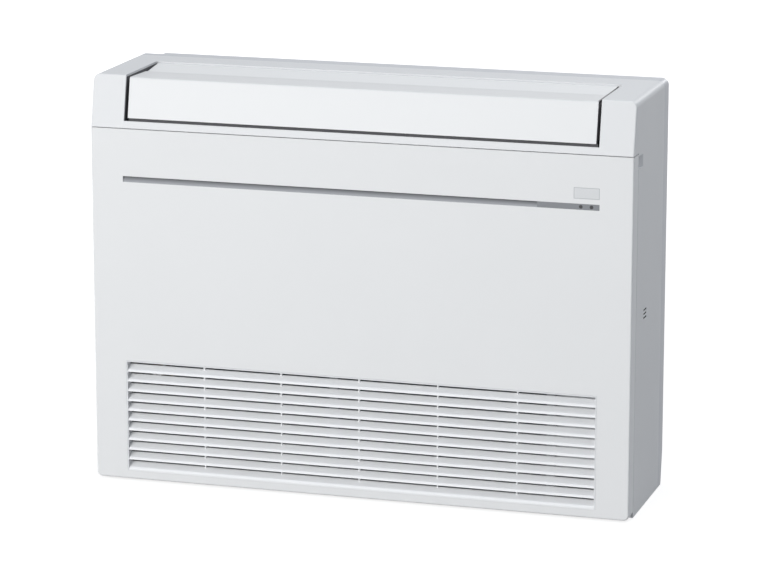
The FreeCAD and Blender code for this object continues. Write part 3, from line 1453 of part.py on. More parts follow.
# Display board behind the strip and window, on a bracket under the casing's ledge, with the receiver's
# eye and the emergency button in its collar
DISPLAY_X = ("display_left", "display_left + display_wide")
DISPLAY_FACE = f"({FRONT} + display_setback)"
bracket_plate = box(
    DISPLAY_X, (DISPLAY_FACE, f"{DISPLAY_FACE} + display_thick"), ("display_low", "seam_height")
)
bracket_top = box(
    DISPLAY_X,
    (DISPLAY_FACE, f"{DISPLAY_FACE} + display_flange"),
    ("seam_height - display_thick", "seam_height"),
)
node("display_bracket", fuse(bracket_plate, bracket_top))
DISPLAY_FRONT = f"({DISPLAY_FACE} - board_thick)"
EYE = (f"({WINDOW[0]} + {WINDOW[1]}) / 2", f"({WINDOW_Z[0]} + {WINDOW_Z[1]}) / 2")
BUTTON = ("button_left", "button_level")
collar_round = "button_round + loose_fit"
collar_span = (f"{DISPLAY_FRONT} - collar_long", DISPLAY_FRONT)
collar = cut(
    rod("y", f"{collar_round} + collar_thick", collar_span, BUTTON, sides=12),
    rod("y", collar_round, (f"{collar_span[0]} - {PAST}", collar_span[1]), BUTTON, sides=12),
)
display_plate = box(
    DISPLAY_X, (DISPLAY_FRONT, DISPLAY_FACE), ("display_low", "display_low + display_board_tall")
)
eye = rod("y", "eye_round", (f"{DISPLAY_FRONT} - eye_long", DISPLAY_FRONT), EYE, sides=12)
node("display_board", fuse(display_plate, eye, collar))
BUTTON_BACK = f"({DISPLAY_FRONT} - button_travel - loose_fit)"
node(
    "emergency_button",
    rod("y", "button_round", (f"{BUTTON_BACK} - button_long", BUTTON_BACK), BUTTON, sides=12),
)

# Room sensor clip inside the right wall, its bulb behind the slots
SENSOR_Y = f"({FRONT} + slot_setback + slot_long / 2)"
SENSOR_Z = "(slot_level + slot_pitch * 2 + slot_tall + sensor_rise)"
clip = box(
    (f"{INNER} - sensor_deep", INNER),
    (f"{SENSOR_Y} - sensor_wide / 2", f"{SENSOR_Y} + sensor_wide / 2"),
    (SENSOR_Z, f"{SENSOR_Z} + sensor_tall"),
)
bulb_at = (f"{INNER} - sensor_deep / 2", SENSOR_Y)
bulb = rod("z", "sensor_bulb", ("slot_level", f"{SENSOR_Z} + sensor_bulb"), bulb_at, sides=8)
node("room_sensor", fuse(clip, bulb))

# Casing screws: pan heads through the base pan's flanges into the side walls
screws = []
for side in (-1, 1):
    for y in (f"{CASE_FRONT} + screw_inset", f"{CASE_BACK} - screw_inset"):
        face = f"{INNER} - pan_thick"
        span = on_side(side, f"{face} - screw_head_thick", face)
        screws.append(rod("x", "screw_head", span, (y, "screw_level"), sides=6))
node("casing_screws", group(*screws))

doc.recompute()
for obj in doc.Objects:
    if "Invalid" in obj.State or "Error" in obj.State:
        raise RuntimeError(f"{obj.Label} failed: {obj.State}")
for name, piece in nodes.items():
    if piece.Shape.isNull() or not piece.Shape.isValid():
        raise RuntimeError(f"{name} has no valid shape")

os.makedirs("parts", exist_ok=True)
for name, piece in nodes.items():
    piece.Shape.exportStep(f"parts/{name}.step")
    print(name, len(piece.Shape.Solids), round(piece.Shape.Volume / 1000, 1), "cm3")
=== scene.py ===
import math

import bmesh
import bpy
from mathutils import Matrix, Vector


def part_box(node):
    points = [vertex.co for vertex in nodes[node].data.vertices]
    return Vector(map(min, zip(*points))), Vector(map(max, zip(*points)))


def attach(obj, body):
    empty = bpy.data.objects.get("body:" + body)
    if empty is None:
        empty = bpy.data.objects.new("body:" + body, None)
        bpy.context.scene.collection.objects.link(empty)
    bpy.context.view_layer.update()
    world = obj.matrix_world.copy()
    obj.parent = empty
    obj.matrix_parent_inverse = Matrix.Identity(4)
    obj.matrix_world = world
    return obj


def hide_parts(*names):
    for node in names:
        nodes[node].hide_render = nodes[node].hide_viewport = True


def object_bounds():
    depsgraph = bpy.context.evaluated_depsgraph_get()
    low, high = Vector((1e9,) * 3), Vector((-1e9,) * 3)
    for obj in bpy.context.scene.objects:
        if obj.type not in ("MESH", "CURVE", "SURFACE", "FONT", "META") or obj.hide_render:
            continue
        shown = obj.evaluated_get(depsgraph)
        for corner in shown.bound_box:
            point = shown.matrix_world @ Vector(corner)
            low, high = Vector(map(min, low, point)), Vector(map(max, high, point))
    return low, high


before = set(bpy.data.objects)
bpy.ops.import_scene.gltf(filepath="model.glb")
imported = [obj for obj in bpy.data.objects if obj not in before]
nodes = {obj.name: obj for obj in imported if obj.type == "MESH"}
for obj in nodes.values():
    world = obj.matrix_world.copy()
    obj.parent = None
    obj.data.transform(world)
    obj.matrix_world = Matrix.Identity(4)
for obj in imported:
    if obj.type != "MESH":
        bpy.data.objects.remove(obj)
cad_low, cad_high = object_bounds()


# Casing: both side walls, the shoulders and the top deck are one white ABS moulding that clips over the rear
# base. Its skin has a fine spark-eroded grain that keeps reflections soft. Inside the three sensor slots of the
# right side, the casing is painted near black, as painted shade of the slots.
class Signal:
    """A shader socket that can be used in sums."""

    def __init__(self, shading, socket):
        self.shading = shading
        self.socket = socket

    def maths(self, operation, first, second):
        return self.shading.node("ShaderNodeMath", {"operation": operation}, {0: first, 1: second})

    def __add__(self, other):
        return self.maths("ADD", self, other)

    __radd__ = __add__

    def __mul__(self, other):
        return self.maths("MULTIPLY", self, other)

    __rmul__ = __mul__

    def __sub__(self, other):
        return self.maths("SUBTRACT", self, other)

    def __rsub__(self, other):
        return self.maths("SUBTRACT", other, self)

    def __gt__(self, other):
        return self.maths("GREATER_THAN", self, other)

    def __lt__(self, other):
        return self.maths("LESS_THAN", self, other)

    def least(self, other):
        return self.maths("MINIMUM", self, other)

    def most(self, other):
        return self.maths("MAXIMUM", self, other)


class Shading:
    """A node tree that is written as expressions."""

    def __init__(self, tree):
        self.tree = tree

    def node(self, kind, settings=None, inputs=None, output=0):
        """Adds a node with its settings and the values or links of its sockets."""
        made = self.tree.nodes.new(kind)
        for key, value in (settings or {}).items():
            setattr(made, key, value)
        for key, value in (inputs or {}).items():
            self.feed(made.inputs[key], value)
        return Signal(self, made.outputs[output])

    def feed(self, socket, value):
        """Links a signal to a socket, or sets a plain value on it."""
        if isinstance(value, Signal):
            self.tree.links.new(value.socket, socket)
        else:
            socket.default_value = value

    def place(self):
        """Where a point lies in the piece's own space."""
        return self.node("ShaderNodeTexCoord", output="Object")

    def axes(self):
        """How far across, along and up the piece a point lies, in metres."""
        split = self.node("ShaderNodeSeparateXYZ", {}, {0: self.place()}).socket.node
        return [Signal(self, axis) for axis in split.outputs]

    def noise(self, size, detail=3.0, stretch=(1, 1, 1)):
        """Noise whose blotches are about that many metres across."""
        spread = self.node("ShaderNodeMapping", {}, {"Vector": self.place(), "Scale": stretch})
        return self.node("ShaderNodeTexNoise", {}, {"Vector": spread, "Scale": 1 / size, "Detail": detail})

    def blend(self, amount, first, second):
        """The first colour where the amount is 0 and the second where it is 1."""
        first, second = (c if isinstance(c, Signal) else (*c, 1) for c in (first, second))
        return self.node("ShaderNodeMix", {"data_type": "RGBA"}, {0: amount, 6: first, 7: second}, output=2)

    def ramp(self, value, start, end, low=0.0, high=1.0):
        """Eases from low to high as the value goes from start to end."""
        limits = {"Value": value, "From Min": start, "From Max": end, "To Min": low, "To Max": high}
        return self.node("ShaderNodeMapRange", {"interpolation_type": "SMOOTHSTEP"}, limits)

    def shown(self):
        """1 on the rays that show a thing itself, straight or by way of gloss or glass."""
        kinds = ("Is Camera Ray", "Is Glossy Ray", "Is Transmission Ray")
        straight, gloss, glass = (self.node("ShaderNodeLightPath", output=kind) for kind in kinds)
        return straight.most(gloss).most(glass)


class Finish(Shading):
    """A material with one principled shader."""

    def __init__(self, name, **constants):
        self.material = bpy.data.materials.new(name)
        self.material.use_nodes = True
        super().__init__(self.material.node_tree)
        self.shader = self.tree.nodes["Principled BSDF"]
        self.set(**constants)

    def set(self, **sockets):
        """Sets or links the shader's sockets, written with a low line for each space."""
        for key, value in sockets.items():
            self.feed(self.shader.inputs[key.replace("_", " ")], value)

    def bump(self, height, depth, strength=1.0):
        """Raises the skin by that depth in metres where the height is 1."""
        relief = {"Height": height, "Distance": depth, "Strength": strength}
        self.set(Normal=self.node("ShaderNodeBump", {}, relief))

    def stain(self, amount, colour):
        """Lays a colour over the one that is there, where the amount is 1."""
        under = Signal(self, self.shader.inputs["Base Color"].links[0].from_socket)
        self.set(Base_Color=self.blend(amount, under, colour))


PLASTIC_IOR = 1.46
CLOUD_SIZE = 0.12
CLOUD_SHARE, GRAIN_SHARE = 0.7, 0.3
CLOUD_GLOSS, GRAIN_GLOSS = 0.06, 0.08
DARKEST = 0.965
GRAIN_STRENGTH = 0.6


def moulded(name, colour, roughness=0.5, grain=0.0007, depth=0.00004):
    """Grained moulded plastic, a little uneven in tone and gloss."""
    finish = Finish(name, IOR=PLASTIC_IOR)
    cloud = finish.noise(CLOUD_SIZE, detail=2.0)
    speck = finish.noise(grain, detail=2.0)
    darker = tuple(c * DARKEST for c in colour)
    finish.set(Base_Color=finish.blend(cloud * CLOUD_SHARE + speck * GRAIN_SHARE, darker, colour))
    smoothest = roughness - (CLOUD_GLOSS + GRAIN_GLOSS) / 2
    finish.set(Roughness=cloud * CLOUD_GLOSS + speck * GRAIN_GLOSS + smoothest)
    finish.bump(speck, depth, GRAIN_STRENGTH)
    return finish


def dress(finish, *names):
    """Gives those pieces of the frame a finish."""
    for name in names:
        slots = nodes[name].data.materials
        slots.clear()
        slots.append(finish.material)


SLOT_SKIN = 0.0003
SLOT_BELOW = 0.012
SLOT_PAINTED_SHADE = (0.045, 0.045, 0.048)
casing = moulded("casing_white", (0.77, 0.777, 0.781))
sensor_low, sensor_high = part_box("room_sensor")
across, along, up = casing.axes()
in_wall = (across > sensor_low.x) * (across < cad_high.x - SLOT_SKIN)
at_slots = (along > sensor_low.y) * (along < sensor_high.y)
at_slots = at_slots * (up > sensor_low.z - SLOT_BELOW) * (up < sensor_high.z)
# Painted shade: the casing is painted near black inside the sensor slots, where they lie in shade.
casing.stain(in_wall * at_slots, SLOT_PAINTED_SHADE)
dress(casing, "casing")

# Rear base: the grey back shell of impact-resistant polystyrene that hangs on the wall and carries the rest.
# It faces the wall, so its mould was left plainer and a little smoother than the casing's.
dress(moulded("rear_base_grey", (0.62, 0.63, 0.655), roughness=0.42, grain=0.0012), "rear_base")

# Front panel: the large flat door, moulded in the same ABS as the casing with the same grain. It tilts
# forward on two ears at its foot.
dress(moulded("panel_white", (0.84, 0.845, 0.843)), "front_panel")

# Intake grille: a satin white ABS insert, moulded in one with its slats and ribs and clipped into the panel.
# The slats are polished brighter than the rim, which is grained like the panel.
SATIN_GRAIN = 0.0009
SATIN_DEPTH = 0.00002
GRILLE_RIM = 0.0071
RIM_WHITE = (0.78, 0.79, 0.80)
grille = moulded("grille_white", (0.93, 0.935, 0.94), roughness=0.42, grain=SATIN_GRAIN, depth=SATIN_DEPTH)
grille_low, grille_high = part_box("intake_grille")
across, _, up = grille.axes()
from_rim = (across - grille_low.x).least(grille_high.x - across).least(grille_high.z - up)
grille.stain(from_rim < GRILLE_RIM, RIM_WHITE)
dress(grille, "intake_grille")

# Air vanes: two satin white mouldings with a smoother face than the casing. The upper one is a little brighter,
# as painted light for the light its forward-leaning face catches. Their end faces are painted grey, as painted
# shade of the gaps they stand in. A dark strip at the right end of the upper face is painted shade of the gap
# at the shoulder. It is cut at a slant, widest where the face lies lowest.
VANE_HALF = 0.345
END_SKIN = 0.0004
END_PAINTED_SHADE = (0.34, 0.34, 0.35)
SHADE_STRIP_TOP = 0.5984
SHADE_STRIP_LOW = 0.593
SHADE_STRIP_SLANT = 1.24
SHADE_STRIP_START = -0.0893
GAP_PAINTED_SHADE = (0.09, 0.09, 0.095)
# The upper vane's paler white is painted light; the grey ends and the slanted dark strip are painted shade of
# the gaps.
for vane, white in (("front_vane", (0.773, 0.779, 0.778)), ("upper_vane", (0.88, 0.885, 0.88))):
    satin = moulded(f"{vane}_white", white, roughness=0.38, grain=SATIN_GRAIN, depth=SATIN_DEPTH)
    across, along, up = satin.axes()
    from_middle = across.most(0 - across)
    on_top = (up > SHADE_STRIP_LOW) * (along > SHADE_STRIP_START)
    at_end = across + (SHADE_STRIP_TOP - up) * SHADE_STRIP_SLANT > VANE_HALF
    satin.stain(from_middle > VANE_HALF - END_SKIN, END_PAINTED_SHADE)
    satin.stain(at_end * on_top, GAP_PAINTED_SHADE)
    dress(satin, vane)

# Groove trim: a smooth grey acrylic strip that leans back inside the panel's long groove. It is painted darker
# towards its upper edge, as painted shade under the groove's upper lip.
TRIM_PAINTED_SHADE = (0.13, 0.135, 0.145)
trim = moulded("trim_grey", (0.36, 0.37, 0.39), roughness=0.4, grain=0.002, depth=0.00001)
trim_low, trim_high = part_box("groove_trim")
_, _, up = trim.axes()
# Painted shade: darker towards the upper edge, where the groove's upper lip shades the trim.
trim.stain(trim.ramp(up, trim_low.z, trim_high.z), TRIM_PAINTED_SHADE)
dress(trim, "groove_trim")

# Indicator strip: smoked grey acrylic let into the end of the groove, smooth enough to shine a little. The
# lamps of the display board are seen through its two lenses, each with a dark printed ring round it.
RING_WIDE = 0.0005
LENS_DARK = (0.05, 0.05, 0.054)
strip = moulded("strip_grey", (0.235, 0.245, 0.26), roughness=0.3, grain=0.002, depth=0.000005)
lens_low, lens_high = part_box("led_lenses")
lens_round = (lens_high.z - lens_low.z) / 2
lens_level = lens_low.z + lens_round
lens_places = (lens_low.x + lens_round, lens_high.x - lens_round)
across, _, up = strip.axes()
for lens_place in lens_places:
    aside, above = across - lens_place, up - lens_level
    strip.stain(aside * aside + above * above < (lens_round + RING_WIDE) ** 2, LENS_DARK)
dress(strip, "indicator_strip")

# Lamp lenses: two short round light guides, moulded in dark acrylic with a polished face. They are pressed
# into the strip, one in front of each lamp of the display board.
dress(moulded("lens_dark", LENS_DARK, roughness=0.25, grain=0.001, depth=0.000004), "led_lenses")

# Receiver window: a pale grey plate that infrared light passes, glued into the panel by a darker rim that
# shows through its edge as a fine line.
GLUE_WIDE = 0.0009
GLUE_GREY = (0.50, 0.51, 0.52)
window = moulded("window_grey", (0.745, 0.755, 0.76), roughness=0.22, grain=0.002, depth=0.000005)
window_low, window_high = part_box("receiver_window")
across, _, up = window.axes()
from_edge = (across - window_low.x).least(window_high.x - across)
from_edge = from_edge.least(up - window_low.z).least(window_high.z - up)
window.stain(from_edge < GLUE_WIDE, GLUE_GREY)
dress(window, "receiver_window")

# Outlet and fan housing: matt black mouldings screwed to the rear base, so that the outlet looks dark past
# the vanes. The deflector blades and their link bar clip into it and have the same finish.
black = moulded("housing_black", (0.15, 0.152, 0.158), roughness=0.6, grain=0.0008)
blades = [name for name in nodes if name.startswith("deflector_")]
dress(black, "fan_housing", "fan_end_wall", "outlet_side_right", "stabiliser", *blades)

# Outlet felt: a grey felt strip on the casing's ledge, just behind the foot of the closed front vane. It is
# glued down, and is put in the gap as painted shade, giving the gap the grey tone of its shade.
FELT_HALF = 0.346
FELT_TALL = 0.0104
FELT_THICK = 0.0025
FELT_DARK, FELT_PALE = (0.09, 0.09, 0.095), (0.2, 0.2, 0.21)
felt_at = Vector((0, -0.0957, 0.5282))


def block(shape, centre, size):
    """Adds a plain block to a mesh."""
    bmesh.ops.create_cube(shape, matrix=Matrix.Translation(centre) @ Matrix.Diagonal((*size, 1)))


def round_off(shape, edges, offset, segments=2):
    """Rounds those edges of a mesh."""
    bmesh.ops.bevel(
        shape, geom=edges, offset=offset, affect="EDGES", segments=segments, profile=0.5, material=-1
    )


def solid_piece(name, shape, finish, body, slot, *replaced):
    """Makes a piece of a mesh. It rides a body, in place of those pieces of the frame."""
    bmesh.ops.recalc_face_normals(shape, faces=shape.faces)
    mesh = bpy.data.meshes.new(name)
    shape.to_mesh(mesh)
    shape.free()
    mesh.materials.append(finish.material)
    piece = bpy.data.objects.new(name, mesh)
    bpy.context.scene.collection.objects.link(piece)
    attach(piece, body)
    if replaced:
        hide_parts(*replaced)


# Painted shade: this grey sheet stands in for the shade seen in the gap below the front vane.
felt = Finish("felt_painted_shade", Roughness=0.95)
fibres = felt.noise(0.0006, detail=4.0, stretch=(0.3, 1, 1))
felt.set(Base_Color=felt.blend(fibres, FELT_DARK, FELT_PALE))
felt.bump(fibres, depth=0.0003)
shape = bmesh.new()
centre = felt_at + Vector((0, FELT_THICK / 2, FELT_TALL / 2))
block(shape, centre, (2 * FELT_HALF, FELT_THICK, FELT_TALL))
upper_edges = [e for e in shape.edges if min(v.co.z for v in e.verts) > centre.z]
round_off(shape, upper_edges, FELT_THICK / 3, segments=3)
solid_piece("outlet_felt_painted_shade", shape, felt, "cabinet", "rubber")


# Fan wheel: dark glass-filled plastic, welded together from short rings of bent blades, with a faint flow
# pattern along the blades.
def mottled(name, size, dark, pale, roughness, detail=3.0, stretch=(1, 1, 1), **constants):
    """A finish that wanders from a dark to a pale tone over about that size, and its roughness with it."""
    finish = Finish(name, **constants)
    patch = finish.noise(size, detail, stretch)
    where_dark, where_pale = roughness
    finish.set(Base_Color=finish.blend(patch, dark, pale))
    finish.set(Roughness=patch * (where_pale - where_dark) + where_dark)
    return finish


wheel = mottled(
    "fan_grey",
    size=0.004,
    dark=(0.07, 0.07, 0.075),
    pale=(0.13, 0.13, 0.14),
    roughness=(0.4, 0.6),
    stretch=(0.08, 1, 1),
    IOR=PLASTIC_IOR,
)
dress(wheel, "cross_flow_fan")

# Motors: the fan motor and the two small vane motors, in black painted or moulded cases, and the black
# rubber holder of the fan's far bearing.
motor_black = moulded("motor_black", (0.06, 0.06, 0.065), roughness=0.45)
dress(motor_black, "fan_motor", "vane_motor_front", "vane_motor_upper")
dress(moulded("bearing_rubber", (0.03, 0.03, 0.03), roughness=0.75), "fan_bearing")

# Sheet steel: the base pan, coil end plates, electrical box and motor cradle are folded from galvanised
# sheet, whose zinc shows as a spangle.
SPANGLES = 140.0
ZINC_DARK, ZINC_PALE = (0.46, 0.47, 0.49), (0.60, 0.61, 0.62)
ZINC_SMOOTHEST, ZINC_UNEVEN = 0.34, 0.18
zinc = Finish("galvanised_steel", Metallic=0.9)
grains = {"Vector": zinc.place(), "Scale": SPANGLES}
spangle = zinc.node("ShaderNodeTexVoronoi", {}, grains, output="Color")
shade = zinc.node("ShaderNodeSeparateColor", {}, {0: spangle})
zinc.set(Base_Color=zinc.blend(shade, ZINC_DARK, ZINC_PALE))
zinc.set(Roughness=shade * ZINC_UNEVEN + ZINC_SMOOTHEST)
dress(zinc, "base_pan", "coil_plate_left", "coil_plate_right", "control_box", "motor_bracket")

# Grey inner mouldings: hinge brackets, panel catches, filter rails and display bracket, of plain grey ABS,
# clipped or screwed to the pan and the casing.
inner = moulded("inner_grey", (0.40, 0.41, 0.43))
dress(inner, "hinge_brackets", "panel_catches", "display_bracket")
dress(inner, "filter_rail_left", "filter_rail_middle", "filter_rail_right")

# Room sensor: a bulb of dark epoxy that feels the warmth of the room's air, in a black moulded clip. It sits
# behind the slots of the right side, where air can reach it.
dress(moulded("sensor_black", (0.035, 0.035, 0.037), roughness=0.6), "room_sensor")

# Heat exchanger fins: thin pressed aluminium plates with a pale blue coating, pushed on to the tubes at an
# even pitch between the two end plates.
FIN_PITCH = 0.0018
FIN_THICK = 0.00022
ROUND_THE_OUTLINE = (0, 1, 3, 2)


def only(kind, parts):
    """Those parts of a mesh that are of one kind."""
    return [part for part in parts if isinstance(part, kind)]


fins = mottled(
    "coated_fins",
    size=0.02,
    dark=(0.42, 0.50, 0.56),
    pale=(0.58, 0.65, 0.70),
    roughness=(0.35, 0.55),
    Metallic=0.6,
)
block_low, block_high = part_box("fin_pack")
section = {(round(v.co.z, 5), round(v.co.y, 5)) for v in nodes["fin_pack"].data.vertices}
section = [Vector((0, y, z)) for z, y in sorted(section)]
coil_foot = (section[0] + section[1]) / 2
coil_head = (section[2] + section[3]) / 2
shape = bmesh.new()
start = Vector((block_low.x, 0, 0))
outline = shape.faces.new([shape.verts.new(start + section[k]) for k in ROUND_THE_OUTLINE])
far_side = bmesh.ops.extrude_face_region(shape, geom=[outline])["geom"]
bmesh.ops.translate(shape, vec=(FIN_THICK, 0, 0), verts=only(bmesh.types.BMVert, far_side))
first_fin = shape.verts[:] + shape.edges[:] + shape.faces[:]
for k in range(1, int((block_high.x - block_low.x) / FIN_PITCH)):
    copy = bmesh.ops.duplicate(shape, geom=first_fin)["geom"]
    bmesh.ops.translate(shape, vec=(FIN_PITCH * k, 0, 0), verts=only(bmesh.types.BMVert, copy))
solid_piece("coil_fins", shape, fins, "cabinet", "fins", "fin_pack")

# Return bends: short U bends of copper tube, brazed to the tube ends in turn at the right and at the left.
# Brazing dulled the copper unevenly.
TUBE_COUNT = 12
TUBE_FIRST = 0.014
TUBE_ROUND = 0.0035
TUBE_SIDES = 14
U_STEPS = 12


def smooth_sides(shape):
    """Shades a tube's sides round and leaves its ends flat."""
    for face in shape.faces:
        face.smooth = len(face.verts) == 4


copper = mottled(
    "drawn_copper",
    size=0.012,
    dark=(0.35, 0.16, 0.09),
    pale=(0.72, 0.38, 0.25),
    roughness=(0.45, 0.25),
    detail=4.0,
    Metallic=1.0,
)
coil_rise = (coil_head - coil_foot).normalized()
coil_across = Vector((1, 0, 0)).cross(coil_rise)
tube_pitch = ((coil_head - coil_foot).length - 2 * TUBE_FIRST) / (TUBE_COUNT - 1)
plate_faces = {1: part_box("coil_plate_right")[1].x, -1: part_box("coil_plate_left")[0].x}
shape = bmesh.new()
for k in range(TUBE_COUNT - 1):
    side = 1 if k % 2 == 0 else -1
    tube_end = coil_foot + coil_rise * (TUBE_FIRST + tube_pitch * k) + Vector((plate_faces[side], 0, 0))
    upright = Matrix.Translation(tube_end) @ Matrix.Rotation(math.pi / 2, 4, "Y")
    ring = bmesh.ops.create_circle(shape, segments=TUBE_SIDES, radius=TUBE_ROUND, matrix=upright)["verts"]
    turned = bmesh.ops.spin(
        shape,
        geom=list({e for v in ring for e in v.link_edges}),
        cent=tube_end + coil_rise * tube_pitch / 2,
        axis=coil_across,
        angle=math.pi * side,
        steps=U_STEPS,
    )["geom_last"]
    shape.faces.new(ring)
    bmesh.ops.contextual_create(shape, geom=only(bmesh.types.BMEdge, turned))
smooth_sides(shape)
solid_piece("return_bends", shape, copper, "cabinet", "copper", "coil_bends")

# Refrigerant pipes: drawn copper tube bent on a former, from the coil down to the pipe gate. The gas pipe
# is the thicker one.
GAS_ROUND = 0.00476
LIQUID_ROUND = 0.00318
PIPE_BEND = 0.022
PIPE_SIDES = 18
BEND_STEPS = 8
GAS_X = -0.3755
LIQUID_X = -0.3595
GAS_END_Z = 0.130
GAS_FALL = 0.055
DROP_Y = 0.0595
GATE_Y = 0.0925
NUT_LONG = 0.013
PIPE_END_Y = GATE_Y - NUT_LONG / 3


def bent_tube(route, radius):
    """A round tube along straight runs joined by bends, closed at both ends."""
    tube = bmesh.new()
    heading = (route[1] - route[0]).normalized()
    turn = Matrix.Translation(route[0]) @ heading.to_track_quat("Z", "Y").to_matrix().to_4x4()
    ring = bmesh.ops.create_circle(tube, segments=PIPE_SIDES, radius=radius, matrix=turn)["verts"]
    tube.faces.new(ring)
    loop = tube.edges[:]
    here = route[0]
    for corner, after in zip(route[1:], route[2:] + [None]):
        heading = (corner - here).normalized()
        leaving = heading if after is None else (after - corner).normalized()
        angle = heading.angle(leaving)
        reach = PIPE_BEND * math.tan(angle / 2)
        run_end = corner - heading * reach
        run = bmesh.ops.extrude_edge_only(tube, edges=loop)["geom"]
        bmesh.ops.translate(tube, vec=run_end - here, verts=only(bmesh.types.BMVert, run))
        loop = only(bmesh.types.BMEdge, run)
        if after is not None:
            inward = (leaving - heading * heading.dot(leaving)).normalized()
            bent = bmesh.ops.spin(
                tube,
                geom=loop,
                cent=run_end + inward * PIPE_BEND,
                axis=heading.cross(leaving),
                angle=angle,
                steps=BEND_STEPS,
            )["geom_last"]
            loop = only(bmesh.types.BMEdge, bent)
        here = corner + leaving * reach
    bmesh.ops.contextual_create(tube, geom=loop)
    smooth_sides(tube)
    return tube


gas_from = coil_head - coil_rise * TUBE_FIRST + Vector((plate_faces[-1], 0, 0))
gas_turn = Vector((GAS_X, DROP_Y, gas_from.z - GAS_FALL))
gas_route = [
    gas_from,
    Vector((GAS_X, gas_from.y, gas_from.z)),
    gas_turn,
    Vector((GAS_X, DROP_Y, GAS_END_Z)),
    Vector((GAS_X, PIPE_END_Y, GAS_END_Z)),
]
liquid_from = coil_foot + coil_rise * TUBE_FIRST + Vector((plate_faces[-1], 0, 0))
liquid_route = [
    liquid_from,
    Vector((LIQUID_X, liquid_from.y, liquid_from.z)),
    Vector((LIQUID_X, PIPE_END_Y, liquid_from.z)),
]
solid_piece("gas_tube", bent_tube(gas_route, GAS_ROUND), copper, "cabinet", "copper", "gas_pipe")
solid_piece("liquid_tube", bent_tube(liquid_route, LIQUID_ROUND), copper, "cabinet", "copper", "liquid_pipe")

# Gas pipe sleeve: a tube of dark closed-cell foam, slit and pushed over the cold pipe so that no water drips
# off it.
SLEEVE_ROUND = 0.011
FOAM_DARK, FOAM_PALE = (0.035, 0.036, 0.04), (0.075, 0.077, 0.082)
foam = Finish("sleeve_foam", Roughness=0.9)
cells = foam.noise(0.0012, detail=4.0)
foam.set(Base_Color=foam.blend(cells, FOAM_DARK, FOAM_PALE))
foam.bump(cells, depth=0.0004)
fall = gas_turn - gas_route[1]
sleeve_route = [
    gas_route[1] + fall * PIPE_BEND / fall.y,
    gas_turn,
    Vector((GAS_X, DROP_Y, GAS_END_Z + PIPE_BEND + SLEEVE_ROUND)),
]
solid_piece("gas_sleeve", bent_tube(sleeve_route, SLEEVE_ROUND), foam, "cabinet", "rubber")

# Flare nuts: hexagon nuts of turned brass with chamfered ends, one on each pipe end in the pipe gate. The
# pipe's flared end lies in the recess of the nut.
NUT_ROUND = 0.009
NUT_FLATS = 6
NUT_CHAMFER = NUT_ROUND / 8
END_FACE = NUT_ROUND / 4
RECESS_SLOPE = NUT_ROUND / 12
brass = mottled(
    "turned_brass",
    size=0.0006,
    dark=(0.50, 0.36, 0.16),
    pale=(0.70, 0.54, 0.27),
    roughness=(0.25, 0.45),
    detail=2.0,
    stretch=(1, 8, 1),
    Metallic=1.0,
)
shape = bmesh.new()
for x, z in ((GAS_X, GAS_END_Z), (LIQUID_X, liquid_from.z)):
    nut_at = Vector((x, GATE_Y - NUT_LONG / 2, z))
    level = Matrix.Translation(nut_at) @ Matrix.Rotation(-math.pi / 2, 4, "X")
    hexagon = bmesh.ops.create_cone(
        shape,
        cap_ends=True,
        segments=NUT_FLATS,
        radius1=NUT_ROUND,
        radius2=NUT_ROUND,
        depth=NUT_LONG,
        matrix=level,
    )["verts"]
    nut_edges = {e for v in hexagon for e in v.link_edges}
    rims = [e for e in nut_edges if abs(e.verts[0].co.y - e.verts[1].co.y) < NUT_CHAMFER]
    for end in [f for f in {f for v in hexagon for f in v.link_faces} if len(f.verts) == NUT_FLATS]:
        inwards = nut_at.y - end.calc_center_median().y
        bmesh.ops.inset_region(shape, faces=[end], thickness=END_FACE)
        bmesh.ops.inset_region(shape, faces=[end], thickness=RECESS_SLOPE)
        bmesh.ops.translate(shape, vec=(0, inwards / 2, 0), verts=end.verts[:])
    round_off(shape, rims, NUT_CHAMFER)
solid_piece("hex_nuts", shape, brass, "cabinet", "brass", "flare_nuts")

# Casing screws: self-tapping screws of rolled steel, plated with zinc. They hold the casing to the flanges of
# the base pan.
plated = mottled(
    "plated_steel",
    size=0.0008,
    dark=(0.45, 0.45, 0.44),
    pale=(0.62, 0.62, 0.60),
    roughness=(0.3, 0.5),
    detail=2.0,
    stretch=(0.2, 1, 1),
    Metallic=1.0,
)
dress(plated, "casing_screws")

# Drain pan and the electrical box's cover: plain white mouldings of polystyrene, the cover hooked over the
# front edge of the box.
dress(moulded("drain_white", (0.72, 0.73, 0.74), roughness=0.45), "drain_pan", "control_cover")

